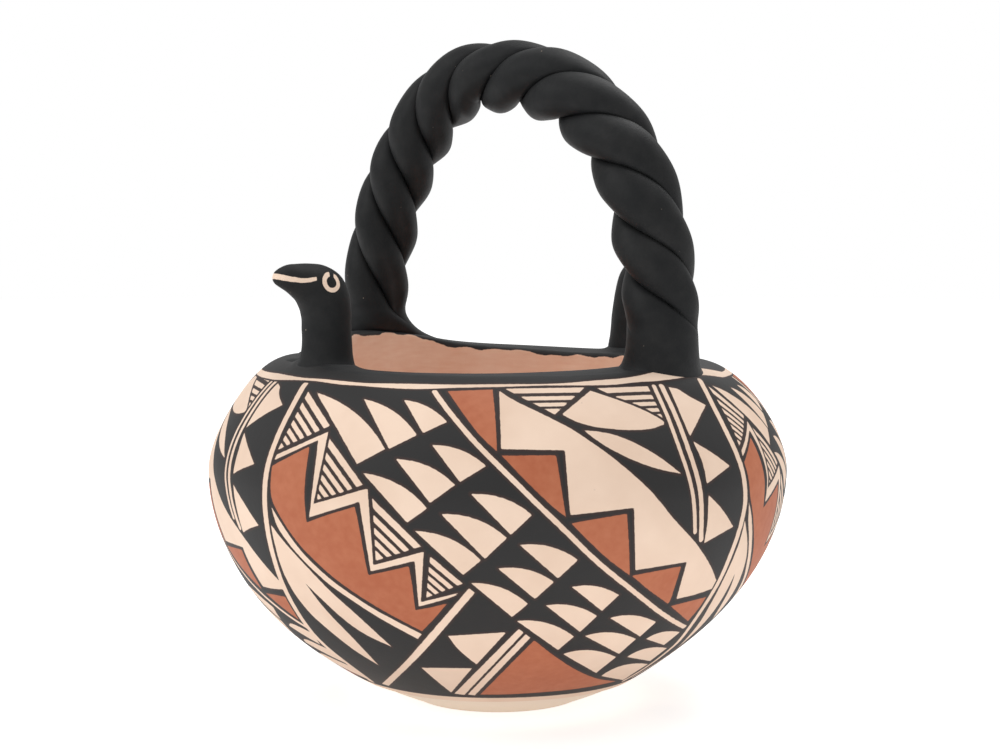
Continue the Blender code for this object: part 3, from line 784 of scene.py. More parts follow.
def quarter_shell(start):
    """A shell between the jar's skin and a depth under it, over a quarter turn."""
    angles = start + np.linspace(0, math.pi / 2, column_count)
    outer = on_skin(angles[None, :], wall_runs[:, None])
    inner_runs = wall_runs[::INNER_STEP]
    inner = on_skin(angles[None, :], inner_runs[:, None], SKIN_DEPTH)
    count = row_count * column_count
    inner_rows = len(inner_runs)
    outer_index = np.arange(count).reshape(row_count, column_count)
    inner_index = count + np.arange(inner_rows * column_count).reshape(inner_rows, column_count)
    faces = [grid_quads(row_count, column_count, False),
             (grid_quads(inner_rows, column_count, False) + count)[:, ::-1]]
    for row, turn in ((0, 1), (-1, -1)):
        outer_row, inner_row = outer_index[row], inner_index[row]
        edge = np.stack([outer_row[:-1], outer_row[1:], inner_row[1:], inner_row[:-1]], axis=1)
        faces.append(edge[:, ::turn])
    for column, turn in ((0, -1), (-1, 1)):
        chunk = np.arange(inner_rows - 1)[:, None] * INNER_STEP + np.arange(INNER_STEP + 1)[None, :]
        side = np.concatenate([outer_index[:, column][chunk], inner_index[1:, column][:, None],
                               inner_index[:-1, column][:, None]], axis=1)
        faces.append(side[:, ::turn])
    return angles, np.concatenate([outer.reshape(-1, 3), inner.reshape(-1, 3)]), faces, inner_rows


wall_pieces = []
for number in range(4):
    angles, points, faces, inner_rows = quarter_shell(QUARTER_START + number * math.pi / 2)
    piece = make_piece(f"painted_wall_{number + 1}", points, faces, ["vessel_body"])
    hidden = np.zeros(inner_rows * column_count)
    depths = band_wall(*paint_wall(angles, wall_runs), angles, wall_runs)
    for name, depth in zip(("bare_mm", "orange_mm"), depths):
        store(piece, name, np.concatenate([depth.ravel() * 1000, hidden]))
    wall_pieces.append(piece)

# %% [markdown]
# Under and inside the painted wall lies the clay itself: one turned body with the bare pink inside, the
# floor, the foot and a seat that the painted shells lie in. Its profile runs from the lip down the
# inside to the floor's middle, and back from the foot's middle up under the shells.

# %% The clay body
BODY_SIDES = 360
INSIDE_TOP_RADIUS = 0.0470
INSIDE_SCRAPES = 0.00015
SEAT_GAP = 0.0007
AXIS_GAP = 0.0005


def body_profile():
    """Radius and height down the inside, across the floor, under the foot and up behind the shells."""
    inside = under_outline(np.linspace(float(run_at_radius(INSIDE_TOP_RADIUS)), BASE_RUN, 150), WALL)
    inside = inside[inside[:, 1] > FLOOR]
    floor_turn = np.linspace(inside[-1, 0], AXIS_GAP, 16)[1:]
    floor = np.stack([floor_turn, np.full(len(floor_turn), FLOOR)], axis=1)
    foot = np.array([(AXIS_GAP, 0), (BASE_RADIUS * 0.4, 0), (BASE_RADIUS * 0.8, 0), (BASE_RADIUS, 0)])
    open_part = under_outline(np.linspace(BASE_RUN, WALL_END_RUN, 30)[1:], UNEVENNESS)
    seat = under_outline(np.linspace(WALL_END_RUN, RIM_RUN, 60), SKIN_DEPTH + SEAT_GAP)
    return inside, np.concatenate([inside, floor, foot, open_part, seat])


inside, profile = body_profile()
turn = np.linspace(0, 2 * math.pi, BODY_SIDES, endpoint=False)
radius, height = profile[:, :1] + 0 * turn, profile[:, 1:] + 0 * turn
scraped = np.arange(len(profile))[:, None] < len(inside)
radius = radius - scraped * INSIDE_SCRAPES * (1 + np.sin(9 * turn + 300 * height))
clay_body = make_piece("clay_body", round_axis(radius, turn, height).reshape(-1, 3),
                       turned_faces(len(profile), BODY_SIDES), ["vessel_body"])
store(clay_body, "inside", np.repeat(scraped.ravel().astype(float), BODY_SIDES))

# %% [markdown]
# The shoulder is a broad, nearly flat ring that ends in a thick lip. Its section is carried round the
# mouth and lifted by the rim's rise. The potter's black slip runs over the edge of the lip and stops in a
# loose line just inside it, so the piece keeps how far below that line each vertex lies.

# %% The black shoulder and the lip
LIP_EDGE = 0.0012
LIP_DEPTH = 0.0078
LIP_WIDTH = 0.0063
LIP_SAG = 0.0004
SHOULDER_SIDES = 720
SLIP_OVER_EDGE = 0.0002
ROUND_SHORTENS = 0.43  # a quarter round is this much of its radius shorter than the corner it rounds
DIMPLE_ANGLE = math.radians(-119)
DIMPLE_RADIUS = 0.0585
DIMPLE_SIZE = 0.0022
DIMPLE_DEPTH = 0.0028


def shoulder_points():
    """Top from the wall to the lip's edge, the edge as a quarter round, down the lip and back under it."""
    turn = np.linspace(0, 2 * math.pi, SHOULDER_SIDES, endpoint=False)[None, :]
    top_runs = np.linspace(RIM_RUN, float(run_at_radius(MOUTH_RADIUS + LIP_EDGE)), 60)[:, None]
    top = on_skin(turn, top_runs)
    dimple = round_axis(DIMPLE_RADIUS, DIMPLE_ANGLE, 0.0)
    from_dimple = np.hypot(top[..., 0] - dimple[0], top[..., 1] - dimple[1])
    top[..., 2] -= DIMPLE_DEPTH * bell(from_dimple, 0, DIMPLE_SIZE)
    edge_z = top[-1, :, 2]
    round_turn = np.linspace(0, math.pi / 2, 12)[1:, None]
    edge_radius = MOUTH_RADIUS + LIP_EDGE * (1 - np.sin(round_turn)) + 0 * turn
    edge_height = edge_z - LIP_EDGE * (1 - np.cos(round_turn))
    lip_share = np.linspace(0, 1, 24)[1:, None]
    lip_drop = LIP_EDGE + lip_share * (edge_z - LIP_EDGE - LIP_HEIGHT + LIP_DEPTH)
    lip_height = edge_z - lip_drop
    lip_radius = MOUTH_RADIUS - 0.0002 * np.sin(4 * turn + 1) * lip_share + LIP_SAG * lip_share ** 2
    under_radius = np.array([[MOUTH_RADIUS + LIP_WIDTH], [RIM_RADIUS]]) + 0 * turn
    under_height = np.array([[LIP_HEIGHT - LIP_DEPTH], [CREST_HEIGHT - WALL]]) + 0 * turn
    rings = [(edge_radius, edge_height), (lip_radius + 0 * turn, lip_height), (under_radius, under_height)]
    around = [round_axis(radius, turn, height) for radius, height in rings]
    below = np.concatenate([
        np.full((len(top_runs), SHOULDER_SIDES), -LIP_EDGE),
        LIP_EDGE * (round_turn - 1) + 0 * turn,
        lip_drop - LIP_EDGE * ROUND_SHORTENS,
        np.full((2, SHOULDER_SIDES), LIP_DEPTH),
    ])
    return np.concatenate([top, *around]), below, turn[0]


shoulder, below_edge, turn = shoulder_points()
faces = turned_faces(len(shoulder), SHOULDER_SIDES)
shoulder_piece = make_piece("black_shoulder", shoulder.reshape(-1, 3), faces,
                            ["vessel_body", "lip_coil"])
loose = (0.0004 * np.sin(6 * turn) + 0.0003 * np.sin(13 * turn + 1) + 0.0002 * np.sin(29 * turn)
         + 0.0016 * bell(turned_from(turn, math.radians(155)), 0, math.radians(8))
         + 0.0012 * bell(turned_from(turn, math.radians(105)), 0, math.radians(12)))
store(shoulder_piece, "below_slip_mm", (below_edge - SLIP_OVER_EDGE - loose) * 1000)

# %% [markdown]
# ## The handle
# Three rolls of clay are twisted together and bent over into an arch that is fuller toward its front
# foot. The arch is two quarter superellipses that meet at the apex, with straight ends that run down
# into the shoulder. A curve object could follow it, but the twist needs the direction out of the bend at
# every run, so the arch is kept as a table, like the jar's outline.

# %% The arch
FRONT_LEG_X = 0.0584
BACK_LEG_X = -0.0515
APEX_X = -0.0053
ARCH_RISE = 0.0809
FRONT_FULLNESS = 2.46
BACK_FULLNESS = 1.92
ARCH_SAMPLES = 4000
ARCH_ROOT = 0.0300

turn = np.linspace(0, math.pi, ARCH_SAMPLES)
front = turn <= math.pi / 2
power = 2 / np.where(front, FRONT_FULLNESS, BACK_FULLNESS)
arch_x = APEX_X + (np.where(front, FRONT_LEG_X, BACK_LEG_X) - APEX_X) * np.abs(np.cos(turn)) ** power
arch_z = LIP_HEIGHT + ARCH_RISE * np.abs(np.sin(turn)) ** power
arch_x = np.concatenate([arch_x[:1], arch_x, arch_x[-1:]])
arch_z = np.concatenate([[LIP_HEIGHT - ARCH_ROOT], arch_z, [LIP_HEIGHT - ARCH_ROOT]])
steps = np.hypot(np.diff(arch_x), np.diff(arch_z))
arch_run = np.concatenate([[0], np.cumsum(steps)]) - steps[0]
ARCH_LENGTH = float(arch_run[-2])
arch_go_x = np.gradient(arch_x, arch_run)
arch_go_z = np.gradient(arch_z, arch_run)
print("arch length", round(ARCH_LENGTH, 4))


def on_arch(run):
    """The centreline's X and Z and its outward direction, at runs from lip height on the front leg."""
    go_x = np.interp(run, arch_run, arch_go_x)
    go_z = np.interp(run, arch_run, arch_go_z)
    size = np.hypot(go_x, go_z)
    return np.interp(run, arch_run, arch_x), np.interp(run, arch_run, arch_z), go_z / size, -go_x / size


# %% [markdown]
# The rope was twisted by hand, so its creases don't come at an even step. Where a crease meets the
# rope's outline in the photo there is a notch, and each notch gives the turn of one crease at one run:
# the crease lies where the rope's surface turns away from the eye. A smooth polynomial takes up most of
# it, together with a lean of the creases, and each outline's notches add the small rest.

# %% The twist, read from the notches
STRAND_COUNT = 3
HALF_STRAND = math.pi / STRAND_COUNT
OUTER_NOTCHES = [(691.5, 282.2), (684.8, 222), (655.8, 146.1), (617.9, 93.6), (552, 46.7), (495.1, 41.6),
                 (431.5, 69.1), (385.7, 128.2), (373, 169.5), (358.5, 226.4)]
INNER_NOTCHES = [(623.4, 272.2), (615.6, 213), (590, 159.5), (558.7, 120.4), (521.9, 102.5), (483.3, 103),
                 (450.4, 123.8), (433.7, 161.7), (416.5, 211.3), (402.5, 263.3)]
NOTCH_REACH_PX = 60
TWIST_BENDS = 4
SLIP_SMOOTHING = 0.0060
STRAND_SMOOTHING_STEP = 20


def read_twist():
    """The first crease's turn as a polynomial of the run, its lean, and what each outline's notches add."""
    run = np.linspace(0, ARCH_LENGTH, ARCH_SAMPLES)
    x, z, out_x, _ = on_arch(run)
    middle = to_pixels(np.stack([x, 0 * x, z], axis=1))
    along = np.gradient(middle, axis=0)
    along = along / np.linalg.norm(along, axis=1)[:, None]
    rows = []
    for notches, first_turn, side in ((OUTER_NOTCHES, 2 * HALF_STRAND, 0.0), (INNER_NOTCHES, 0.0, math.pi)):
        for number, notch in enumerate(notches):
            away = np.array(notch) - middle
            off = np.abs((away * along).sum(axis=1)) + PHOTO_WIDTH * (np.hypot(*away.T) > NOTCH_REACH_PX)
            place = off.argmin()
            edge = math.atan(out_x[place] * math.cos(EYE_AZIMUTH) / math.sin(EYE_AZIMUTH)) + side
            rows.append((run[place], edge, edge + first_turn + 2 * HALF_STRAND * number))
    notch_run, edge, turned = np.array(rows).T
    terms = np.stack([notch_run ** power for power in range(TWIST_BENDS + 1)] + [-np.cos(edge)], axis=1)
    shares = np.linalg.lstsq(terms, turned, rcond=None)[0]
    left_over = turned - terms @ shares
    nearness = bell(run[:, None], run[None, ::STRAND_SMOOTHING_STEP], SLIP_SMOOTHING)
    nearness = nearness / nearness.sum(axis=1)[:, None]
    slips = []
    for part in (slice(0, len(OUTER_NOTCHES)), slice(len(OUTER_NOTCHES), None)):
        slip = np.interp(run[::STRAND_SMOOTHING_STEP], notch_run[part], left_over[part])
        slips.append(nearness @ slip)
    print("the notches add up to", round(math.degrees(np.abs(left_over).max()), 1), "degrees")
    return shares[:-1], shares[-1], run, slips


crease_turn, crease_lean, slip_run, (outer_slip, inner_slip) = read_twist()
print("creases lean by", round(math.degrees(crease_lean), 1), "degrees")


def twist_at(run):
    """How far the first strand has turned from the arch's outer side toward -Y."""
    return sum(share * run ** power for power, share in enumerate(crease_turn)) - HALF_STRAND


def crease_shift(run, around):
    """How far creases lie ahead of the polynomial: the notches' rest, blended round, less the lean."""
    outside = (1 + np.cos(around)) / 2
    outer, inner = np.interp(run, slip_run, outer_slip), np.interp(run, slip_run, inner_slip)
    return outer * outside + inner * (1 - outside) - crease_lean * np.cos(around)


TURN_PASSES = 8


def place_of_turn(run, turn):
    """The place round the rope that lies at a turn, found in a few passes."""
    around = turn
    for _ in range(TURN_PASSES):
        around = turn + crease_shift(run, around)
    return around


# %% [markdown]
# Each strand fills a third of the rope. Its outside is an arc of a round roll that ends in a crisp crease
# at each neighbour. The creases are deeper on the inside of the bend, where the clay is pressed together,
# and fade out on the inside of the front foot, where the potter rubbed them smooth. The whole rope is a
# little thinner at its front end and along its back half, and swells slowly, as rolled clay does.

# %% The rope's section
ROPE_RADIUS = 0.0107
ROLL_RADIUS = 0.0068
CREASE_DEPTH = 0.0024
CREASE_CUT = 0.0011
CREASE_WIDTH = 0.075
INNER_DEEPENING = 0.25
INNER_FADE_START = 0.0150
INNER_FADE_LENGTH = 0.0100
FOOT_THINNING = 0.13
FOOT_THINNING_REACH = 0.020
BACK_FOOT_SHARE = 0.15
BACK_THINNING = 0.055
BACK_START, BACK_LENGTH = 0.35 * ARCH_LENGTH, 0.25 * ARCH_LENGTH
ROPE_FULLNESS = 0.985


def crease_share(run, around):
    """How much of a crease is left: on the inside of the front foot the strands were smoothed together."""
    above = np.clip((run - INNER_FADE_START) / INNER_FADE_LENGTH, 0, 1)
    return 1 - ((1 - np.cos(around)) / 2) ** 2 * (1 - ease(above))


def rope_radius(turn, around, crease=1.0):
    """Radius of the rope: an arc of a roll over each strand's crown, falling to a crease at each side."""
    from_crown = (turn + HALF_STRAND) % (2 * HALF_STRAND) - HALF_STRAND
    middle = ROPE_RADIUS - ROLL_RADIUS
    arc, lowest = (middle * np.cos(angle) + np.sqrt(ROLL_RADIUS ** 2 - (middle * np.sin(angle)) ** 2)
                   for angle in (from_crown, HALF_STRAND))
    fall = (ROPE_RADIUS - arc) / (ROPE_RADIUS - lowest)
    cut = np.exp(-(HALF_STRAND - np.abs(from_crown)) / CREASE_WIDTH)
    deep = 1 - INNER_DEEPENING * np.cos(around)
    return ROPE_RADIUS - crease * deep * (CREASE_DEPTH * fall + CREASE_CUT * cut)


def hand_pressed(run, around):
    """The slow swelling and thinning of rolled clay, as a factor near one: a sum of sines and bells."""
    uneven = 0.012 * np.sin(150 * run + around) + 0.008 * np.sin(410 * run + 2 * around + 1)
    front, back = (bell(run, end, FOOT_THINNING_REACH) for end in (0, ARCH_LENGTH))
    ends = FOOT_THINNING * (front + BACK_FOOT_SHARE * back)
    behind = np.clip((run - BACK_START) / BACK_LENGTH, 0, 1)
    return ROPE_FULLNESS + uneven - ends - BACK_THINNING * ease(behind)


def place_round_arch(run, around, radius):
    """Points at a radius round the arch's centreline, at angles from its outer side toward -Y."""
    x, z, out_x, out_z = on_arch(run)
    return np.stack([x + radius * np.cos(around) * out_x, -radius * np.sin(around),
                     z + radius * np.cos(around) * out_z], axis=-1)


# %% [markdown]
# A strand is a roll whose rings are thirds of the rope: a dome from crease to crease, then two flat sides
# by way of the rope's middle. Its columns crowd toward the creases, where the dome turns in. A tenth of a
# millimetre parts the neighbours, which reads as the dark line that clay leaves between two rolls.

# %% The three strands
FOOT_TOP = 0.0170
STRAND_ROWS = 560
DOME_COLUMNS = 72
SIDE_COLUMNS = 8
STRAND_GAP = 0.0001


def strand_rings(start_turn):
    """A strand's rings: its dome from crease to crease, then its two sides by way of the rope's middle."""
    run = np.linspace(FOOT_TOP, ARCH_LENGTH - FOOT_TOP, STRAND_ROWS)[:, None]
    edge = HALF_STRAND - STRAND_GAP / 2 / ROPE_RADIUS
    from_crown = edge * np.sin(np.linspace(-math.pi / 2, math.pi / 2, DOME_COLUMNS))[None, :]
    around = place_of_turn(run, twist_at(run) + start_turn + from_crown)
    radius = rope_radius(from_crown, around, crease_share(run, around)) * hand_pressed(run, around)
    dome = place_round_arch(run, around, radius)
    root_radius = STRAND_GAP / 2 / math.sin(HALF_STRAND)
    root = place_round_arch(run, place_of_turn(run, twist_at(run) + start_turn), root_radius + 0 * run)
    share = np.linspace(0, 1, SIDE_COLUMNS + 1)[None, 1:-1, None]
    leaving = dome[:, -1:] + (root - dome[:, -1:]) * share
    coming = root + (dome[:, :1] - root) * share
    return np.concatenate([dome, leaving, root, coming], axis=1)


strand_pieces = []
for number in range(STRAND_COUNT):
    name = f"handle_strand_{number + 1}"
    strand_pieces.append(make_roll(name + "_clay", strand_rings(2 * HALF_STRAND * number), name))

# %% [markdown]
# At each foot the rope keeps its twist but spreads in a round fillet to an oval pad that melts into the
# shoulder. Each ring of the foot is a mix of the rope's ring and the pad's outline, and the mix follows a
# quarter circle, so the foot meets the shoulder flat and leaves it upright.

# %% The two feet
FEET = [  # name, leg, toe, breadth, height of the fillet and shift of the pad
    ("handle_foot_front", FRONT_LEG_X, 0.0088, 0.0255, 0.0125, 0.0024),
    ("handle_foot_back", BACK_LEG_X, 0.0110, 0.0620, 0.0165, 0.0060),
]
CREASE_END = 0.0095
FOOT_ROWS = 150
FOOT_COLUMNS = 240
FOOT_SINK = 0.0030
PAD_FULLNESS = 2.2
PAD_INSET = 0.0022
ROWS_GATHERED = 1.3
TUCK_UNDER = 1.3
MOST_TUCKED = 0.8


def squared(wave):
    """A cosine or a sine turned into that of a superellipse, by a power that keeps its sign."""
    return np.sign(wave) * np.abs(wave) ** (2 / PAD_FULLNESS)


def foot_rings(leg_x, toe, breadth, fillet, shift):
    """Rings from the rope down to the pad, at rises above the lip."""
    side = math.copysign(1.0, leg_x)
    inner, outer = MOUTH_RADIUS + PAD_INSET, abs(leg_x) + toe
    around = np.linspace(0, 2 * math.pi, FOOT_COLUMNS, endpoint=False)[None, :]
    pad_radius = (inner + outer) / 2 + (outer - inner) / 2 * squared(np.cos(around))
    pad_turn = (shift - breadth / 2 * squared(np.sin(around))) / abs(leg_x)
    pad_x, pad_y = side * pad_radius * np.cos(pad_turn), pad_radius * np.sin(pad_turn)
    ground = skin_height(pad_x, pad_y)
    fall = np.linspace(0, 1, FOOT_ROWS)[:, None] ** ROWS_GATHERED
    rise = FOOT_TOP - fall * (FOOT_TOP + LIP_HEIGHT - ground.min() + FOOT_SINK)
    run = rise if leg_x > 0 else ARCH_LENGTH - rise
    centre_z = LIP_HEIGHT + rise
    spread_top = LIP_HEIGHT + fillet
    sunk = np.clip((spread_top - centre_z) / (spread_top - ground), 0, 1)
    spread = 1 - np.sqrt(1 - sunk ** 2)
    left_of_crease = np.clip((rise - CREASE_END) / (FOOT_TOP - CREASE_END), 0, 1)
    crease = crease_share(run, around) * (1 - spread) * ease(left_of_crease)
    turn = around - crease_shift(run, around) - twist_at(run)
    rope = place_round_arch(run, around, rope_radius(turn, around, crease) * hand_pressed(run, around))
    x = rope[..., 0] + (pad_x - rope[..., 0]) * spread
    y = rope[..., 1] + (pad_y - rope[..., 1]) * spread
    under = np.clip(TUCK_UNDER * (ground - centre_z) / (outer - inner), 0, MOST_TUCKED)
    middle = (inner + outer) / 2
    x = x + (side * middle * np.cos(pad_turn) - x) * under
    y = y + (middle * np.sin(pad_turn) - y) * under
    return np.stack([x, y, rope[..., 2]], axis=-1)


foot_pieces = [make_roll(name + "_clay", foot_rings(*sizes), name) for name, *sizes in FEET]

# %% [markdown]
# ## The bird and the tail
# The bird's neck and head are one roll of clay, bent over and drawn out to a blunt beak. A roll with such
# a tight bend would fold into itself if its rings stood square to a centreline, so each ring has its own
# tilt, given one by one: level in the neck, upright in the beak. The tail is a plain tongue.

# %% Rolls that stand on the shoulder
BIRD_STATIONS = [  # reach from the axis, height, half depth, half width, tilt in degrees
    (0.0550, 0.0890, 0.0080, 0.0090, 0), (0.0552, 0.0930, 0.0083, 0.0096, 0),
    (0.0552, 0.0952, 0.0084, 0.0097, 0), (0.0548, 0.0963, 0.0078, 0.0086, 0),
    (0.0545, 0.0976, 0.0073, 0.0077, 0), (0.0544, 0.0992, 0.0070, 0.0072, 0),
    (0.0543, 0.1012, 0.0068, 0.0069, 0), (0.0543, 0.1036, 0.0067, 0.0067, 0),
    (0.0544, 0.1060, 0.0067, 0.0067, 0), (0.0544, 0.1085, 0.0067, 0.0067, 0),
    (0.05454, 0.11098, 0.00687, 0.0068, 10), (0.05509, 0.11373, 0.00706, 0.0069, 23.6),
    (0.05647, 0.11629, 0.00703, 0.0068, 38), (0.05884, 0.11806, 0.00625, 0.0063, 54),
    (0.06128, 0.1188, 0.00526, 0.0056, 68.6), (0.06357, 0.11931, 0.00442, 0.0049, 80.4),
    (0.06575, 0.11983, 0.00363, 0.0041, 87.6), (0.0677, 0.1200, 0.0027, 0.0031, 90),
    (0.0690, 0.1200, 0.0019, 0.0021, 90), (0.0697, 0.11995, 0.0011, 0.0012, 90),
    (0.0700, 0.1199, 0.0003, 0.0003, 90),
]
TAIL_STATIONS = [
    (0.0542, 0.0890, 0.0064, 0.0085, 0), (0.0543, 0.0940, 0.0065, 0.0086, 0),
    (0.0544, 0.0970, 0.0066, 0.0087, 0), (0.0547, 0.1005, 0.0063, 0.0083, 0),
    (0.0549, 0.1035, 0.0062, 0.0081, 0), (0.0552, 0.1070, 0.0062, 0.0080, 0),
    (0.0562, 0.1130, 0.0061, 0.0078, 0), (0.0572, 0.1180, 0.0058, 0.0073, 0),
    (0.0578, 0.1210, 0.0048, 0.0062, 0), (0.0580, 0.1228, 0.0033, 0.0043, 0),
    (0.0581, 0.1236, 0.0018, 0.0024, 0), (0.0581, 0.1239, 0.0003, 0.0004, 0),
]
ROLL_ROWS = 190
ROLL_COLUMNS = 150


def flowing(stations, count):
    """Rows between stations, carried through every station by a Catmull-Rom curve."""
    table = np.asarray(stations, dtype=float)
    ends = np.concatenate([2 * table[:1] - table[1:2], table, 2 * table[-1:] - table[-2:-1]])
    along = np.linspace(0, len(table) - 1, count)
    start = np.minimum(along.astype(int), len(table) - 2)
    t = (along - start)[:, None]
    a, b, c, d = (ends[start + step] for step in range(4))
    curve = 2 * b + (c - a) * t + (2 * a - 5 * b + 4 * c - d) * t ** 2 + (3 * b - 3 * c + d - a) * t ** 3
    return 0.5 * curve


def roll_rings(stations, azimuth):
    """Oval rings along the stations, each tilted about its own middle, in the upright plane of an azimuth."""
    columns = flowing(stations, ROLL_ROWS).T
    reach, height, half_depth, half_width, tilt = (column[:, None] for column in columns)
    around = np.linspace(0, 2 * math.pi, ROLL_COLUMNS, endpoint=False)[None, :]
    depth = half_depth * np.cos(around)
    aside = half_width * np.sin(around)
    lean = np.radians(tilt)
    u = reach - depth * np.cos(lean)
    z = height + depth * np.sin(lean)
    x = u * math.cos(azimuth) - aside * math.sin(azimuth)
    y = u * math.sin(azimuth) + aside * math.cos(azimuth)
    return np.stack([x, y, z], axis=-1), u


bird_rings, bird_reach = roll_rings(BIRD_STATIONS, BIRD_ANGLE)
bird = make_roll("bird_clay", bird_rings, "effigy_head")
tail = make_roll("tail_clay", roll_rings(TAIL_STATIONS, TAIL_ANGLE)[0], "effigy_tail")

# %% [markdown]
# The bird's eye is a brushed ring of cream slip, open at its top, and its mouth is one cream stroke that
# wraps the tip of the beak. Both are depths again, measured in the upright plane that cuts the bird in
# half, so they come out the same on its two sides.

# %% The bird's eye and mouth
EYE_REACH = 0.0559
EYE_HEIGHT_ON_BIRD = 0.1188
EYE_OUTER = 0.0027
EYE_INNER = 0.0015
EYE_GAP = 0.0013
EYE_GAP_LEAN = 0.30
MOUTH_LINE = [(0.0600, 0.1198), (0.0620, 0.1194), (0.0640, 0.1193), (0.0665, 0.1197), (0.0705, 0.1206)]
MOUTH_WIDTHS = (0.0010, 0.0016)

height = bird_rings[..., 2]
over, up = bird_reach - EYE_REACH, height - EYE_HEIGHT_ON_BIRD
distance = np.hypot(over, up)
eye_ring = (EYE_OUTER - EYE_INNER) / 2 - np.abs(distance - (EYE_OUTER + EYE_INNER) / 2)
gap_depth = np.where(up > 0, EYE_GAP / 2 - np.abs(over + EYE_GAP_LEAN * up), FAR_FROM_PAINT)
eye_ring = np.minimum(eye_ring, -gap_depth)
mouth = np.array(MOUTH_LINE)
share = np.clip((bird_reach - mouth[0, 0]) / (mouth[-1, 0] - mouth[0, 0]), 0, 1)
line_height = np.interp(bird_reach, mouth[:, 0], mouth[:, 1])
half = (MOUTH_WIDTHS[0] + (MOUTH_WIDTHS[1] - MOUTH_WIDTHS[0]) * share) / 2
mouth_line = np.minimum(half - np.abs(height - line_height), bird_reach - mouth[0, 0])
brushed = np.maximum(eye_ring, mouth_line)
NECK_END_MM, BEAK_TIP_MM = -3.0, 1.0
store(bird, "brushed_mm", np.concatenate([brushed.ravel() * 1000, [NECK_END_MM, BEAK_TIP_MM]]))

# %% [markdown]
# ## Finishes
# Shader maths is written as ordinary sums. A small class wraps a socket, and adding or multiplying two
# of them adds the Math nodes; anything else comes from one method that takes a node's type, its settings
# and what goes into its sockets.

# %% Writing shader maths as sums
class Wire:
    """A socket of a material, on which sums and products add Math nodes."""

    def __init__(self, recipe, socket):
        self.recipe = recipe
        self.socket = socket

    def math(self, operation, *values):
        return self.recipe.node("ShaderNodeMath", {"operation": operation}, dict(enumerate(values)))

    def __add__(self, other):
        return self.math("ADD", self, other)

    def __sub__(self, other):
        return self.math("SUBTRACT", self, other)

    def __rsub__(self, other):
        return self.math("SUBTRACT", other, self)

    def __mul__(self, other):
        return self.math("MULTIPLY", self, other)

    __radd__ = __add__
    __rmul__ = __mul__

    def higher_of(self, other):
        return self.math("MAXIMUM", self, other)

    def ramp(self, low, high):
        """0 below low and 1 above high, with an even ramp between."""
        values = {"Value": self, "From Min": low, "From Max": high}
        return self.recipe.node("ShaderNodeMapRange", {"clamp": True}, values)


# %% [markdown]
# A recipe holds one material. Its methods add the few kinds of node that these finishes use, each with
# its coordinates taken from the object, so that no texture swims when the object is moved.

# %% The recipe of a material
class Recipe:
    """The nodes of one material, around its Principled shader."""

    def __init__(self, name, roughness, specular=0.35):
        self.material = bpy.data.materials.new(name)
        self.material.use_nodes = True
        self.tree = self.material.node_tree
        self.shader = self.tree.nodes["Principled BSDF"]
        self.shader.inputs["Roughness"].default_value = roughness
        self.shader.inputs["Specular IOR Level"].default_value = specular
        self.place = self.node("ShaderNodeTexCoord", out="Object")

    def node(self, kind, settings=(), values=(), out=0):
        """A new node with its settings and the values or wires of its sockets; gives one output."""
        node = self.tree.nodes.new(kind)
        for key, value in dict(settings).items():
            setattr(node, key, value)
        for key, value in dict(values).items():
            if isinstance(value, Wire):
                self.tree.links.new(value.socket, node.inputs[key])
            else:
                node.inputs[key].default_value = value
        return Wire(self, node.outputs[out])

    def attribute(self, name):
        """A number that the mesh keeps for each vertex."""
        return self.node("ShaderNodeAttribute", {"attribute_name": name}, out="Fac")

    def noise(self, scale, detail=3.0, roughness=0.5):
        """Cloudy noise between 0 and 1, with a scale in clouds for each metre."""
        values = {"Vector": self.place, "Scale": scale, "Detail": detail, "Roughness": roughness}
        return self.node("ShaderNodeTexNoise", values=values)

    def stretched_noise(self, scales, detail=2.0):
        """Noise drawn out along the axes with small scales, like the marks of a brush."""
        drawn = self.node("ShaderNodeMapping", values={"Vector": self.place, "Scale": scales})
        return self.node("ShaderNodeTexNoise", values={"Vector": drawn, "Scale": 1.0, "Detail": detail})

    def specks(self, scale, size):
        """1 in small round specks scattered at a scale, 0 elsewhere."""
        cell = self.node("ShaderNodeTexVoronoi", {}, {"Vector": self.place, "Scale": scale}, out="Distance")
        return 1.0 - cell.ramp(size * 0.6, size)

    def blend(self, amount, first, second):
        """The first colour turning into the second by an amount."""
        return self.node("ShaderNodeMix", {"data_type": "RGBA"}, {0: amount, 6: first, 7: second}, out=2)

    def finish(self, colour, bump=None, depth=0.0001, roughness=None):
        """Link the colour, the roughness and a bump whose full height is a depth in metres."""
        self.tree.links.new(colour.socket, self.shader.inputs["Base Color"])
        if roughness is not None:
            self.tree.links.new(roughness.socket, self.shader.inputs["Roughness"])
        if bump is not None:
            normal = self.node("ShaderNodeBump", values={"Height": bump, "Distance": depth, "Strength": 1.0})
            self.tree.links.new(normal.socket, self.shader.inputs["Normal"])
        return self.material


def from_screen(red, green, blue):
    """A colour as the eye reads it on a screen, 0 to 255, turned into light."""
    values = np.array([red, green, blue]) / 255
    light = np.where(values <= 0.04045, values / 12.92, ((values + 0.055) / 1.055) ** 2.4)
    return (*light.tolist(), 1.0)


# %% [markdown]
# The charcoal slip is a mineral black, boiled with plant juice and fired matt. It is never one tone: it is
# worn greyer in soft patches, and pricked with a few pale specks where the clay comes through. An even
# black would look like plastic, so slow noise mixes two near blacks and lifts the surface a little.

# %% Charcoal slip
CHARCOAL = from_screen(28, 29, 30)
CHARCOAL_WORN = from_screen(42, 42, 42)
SPECK = from_screen(176, 158, 142)
CHARCOAL_GRAIN = 0.00012


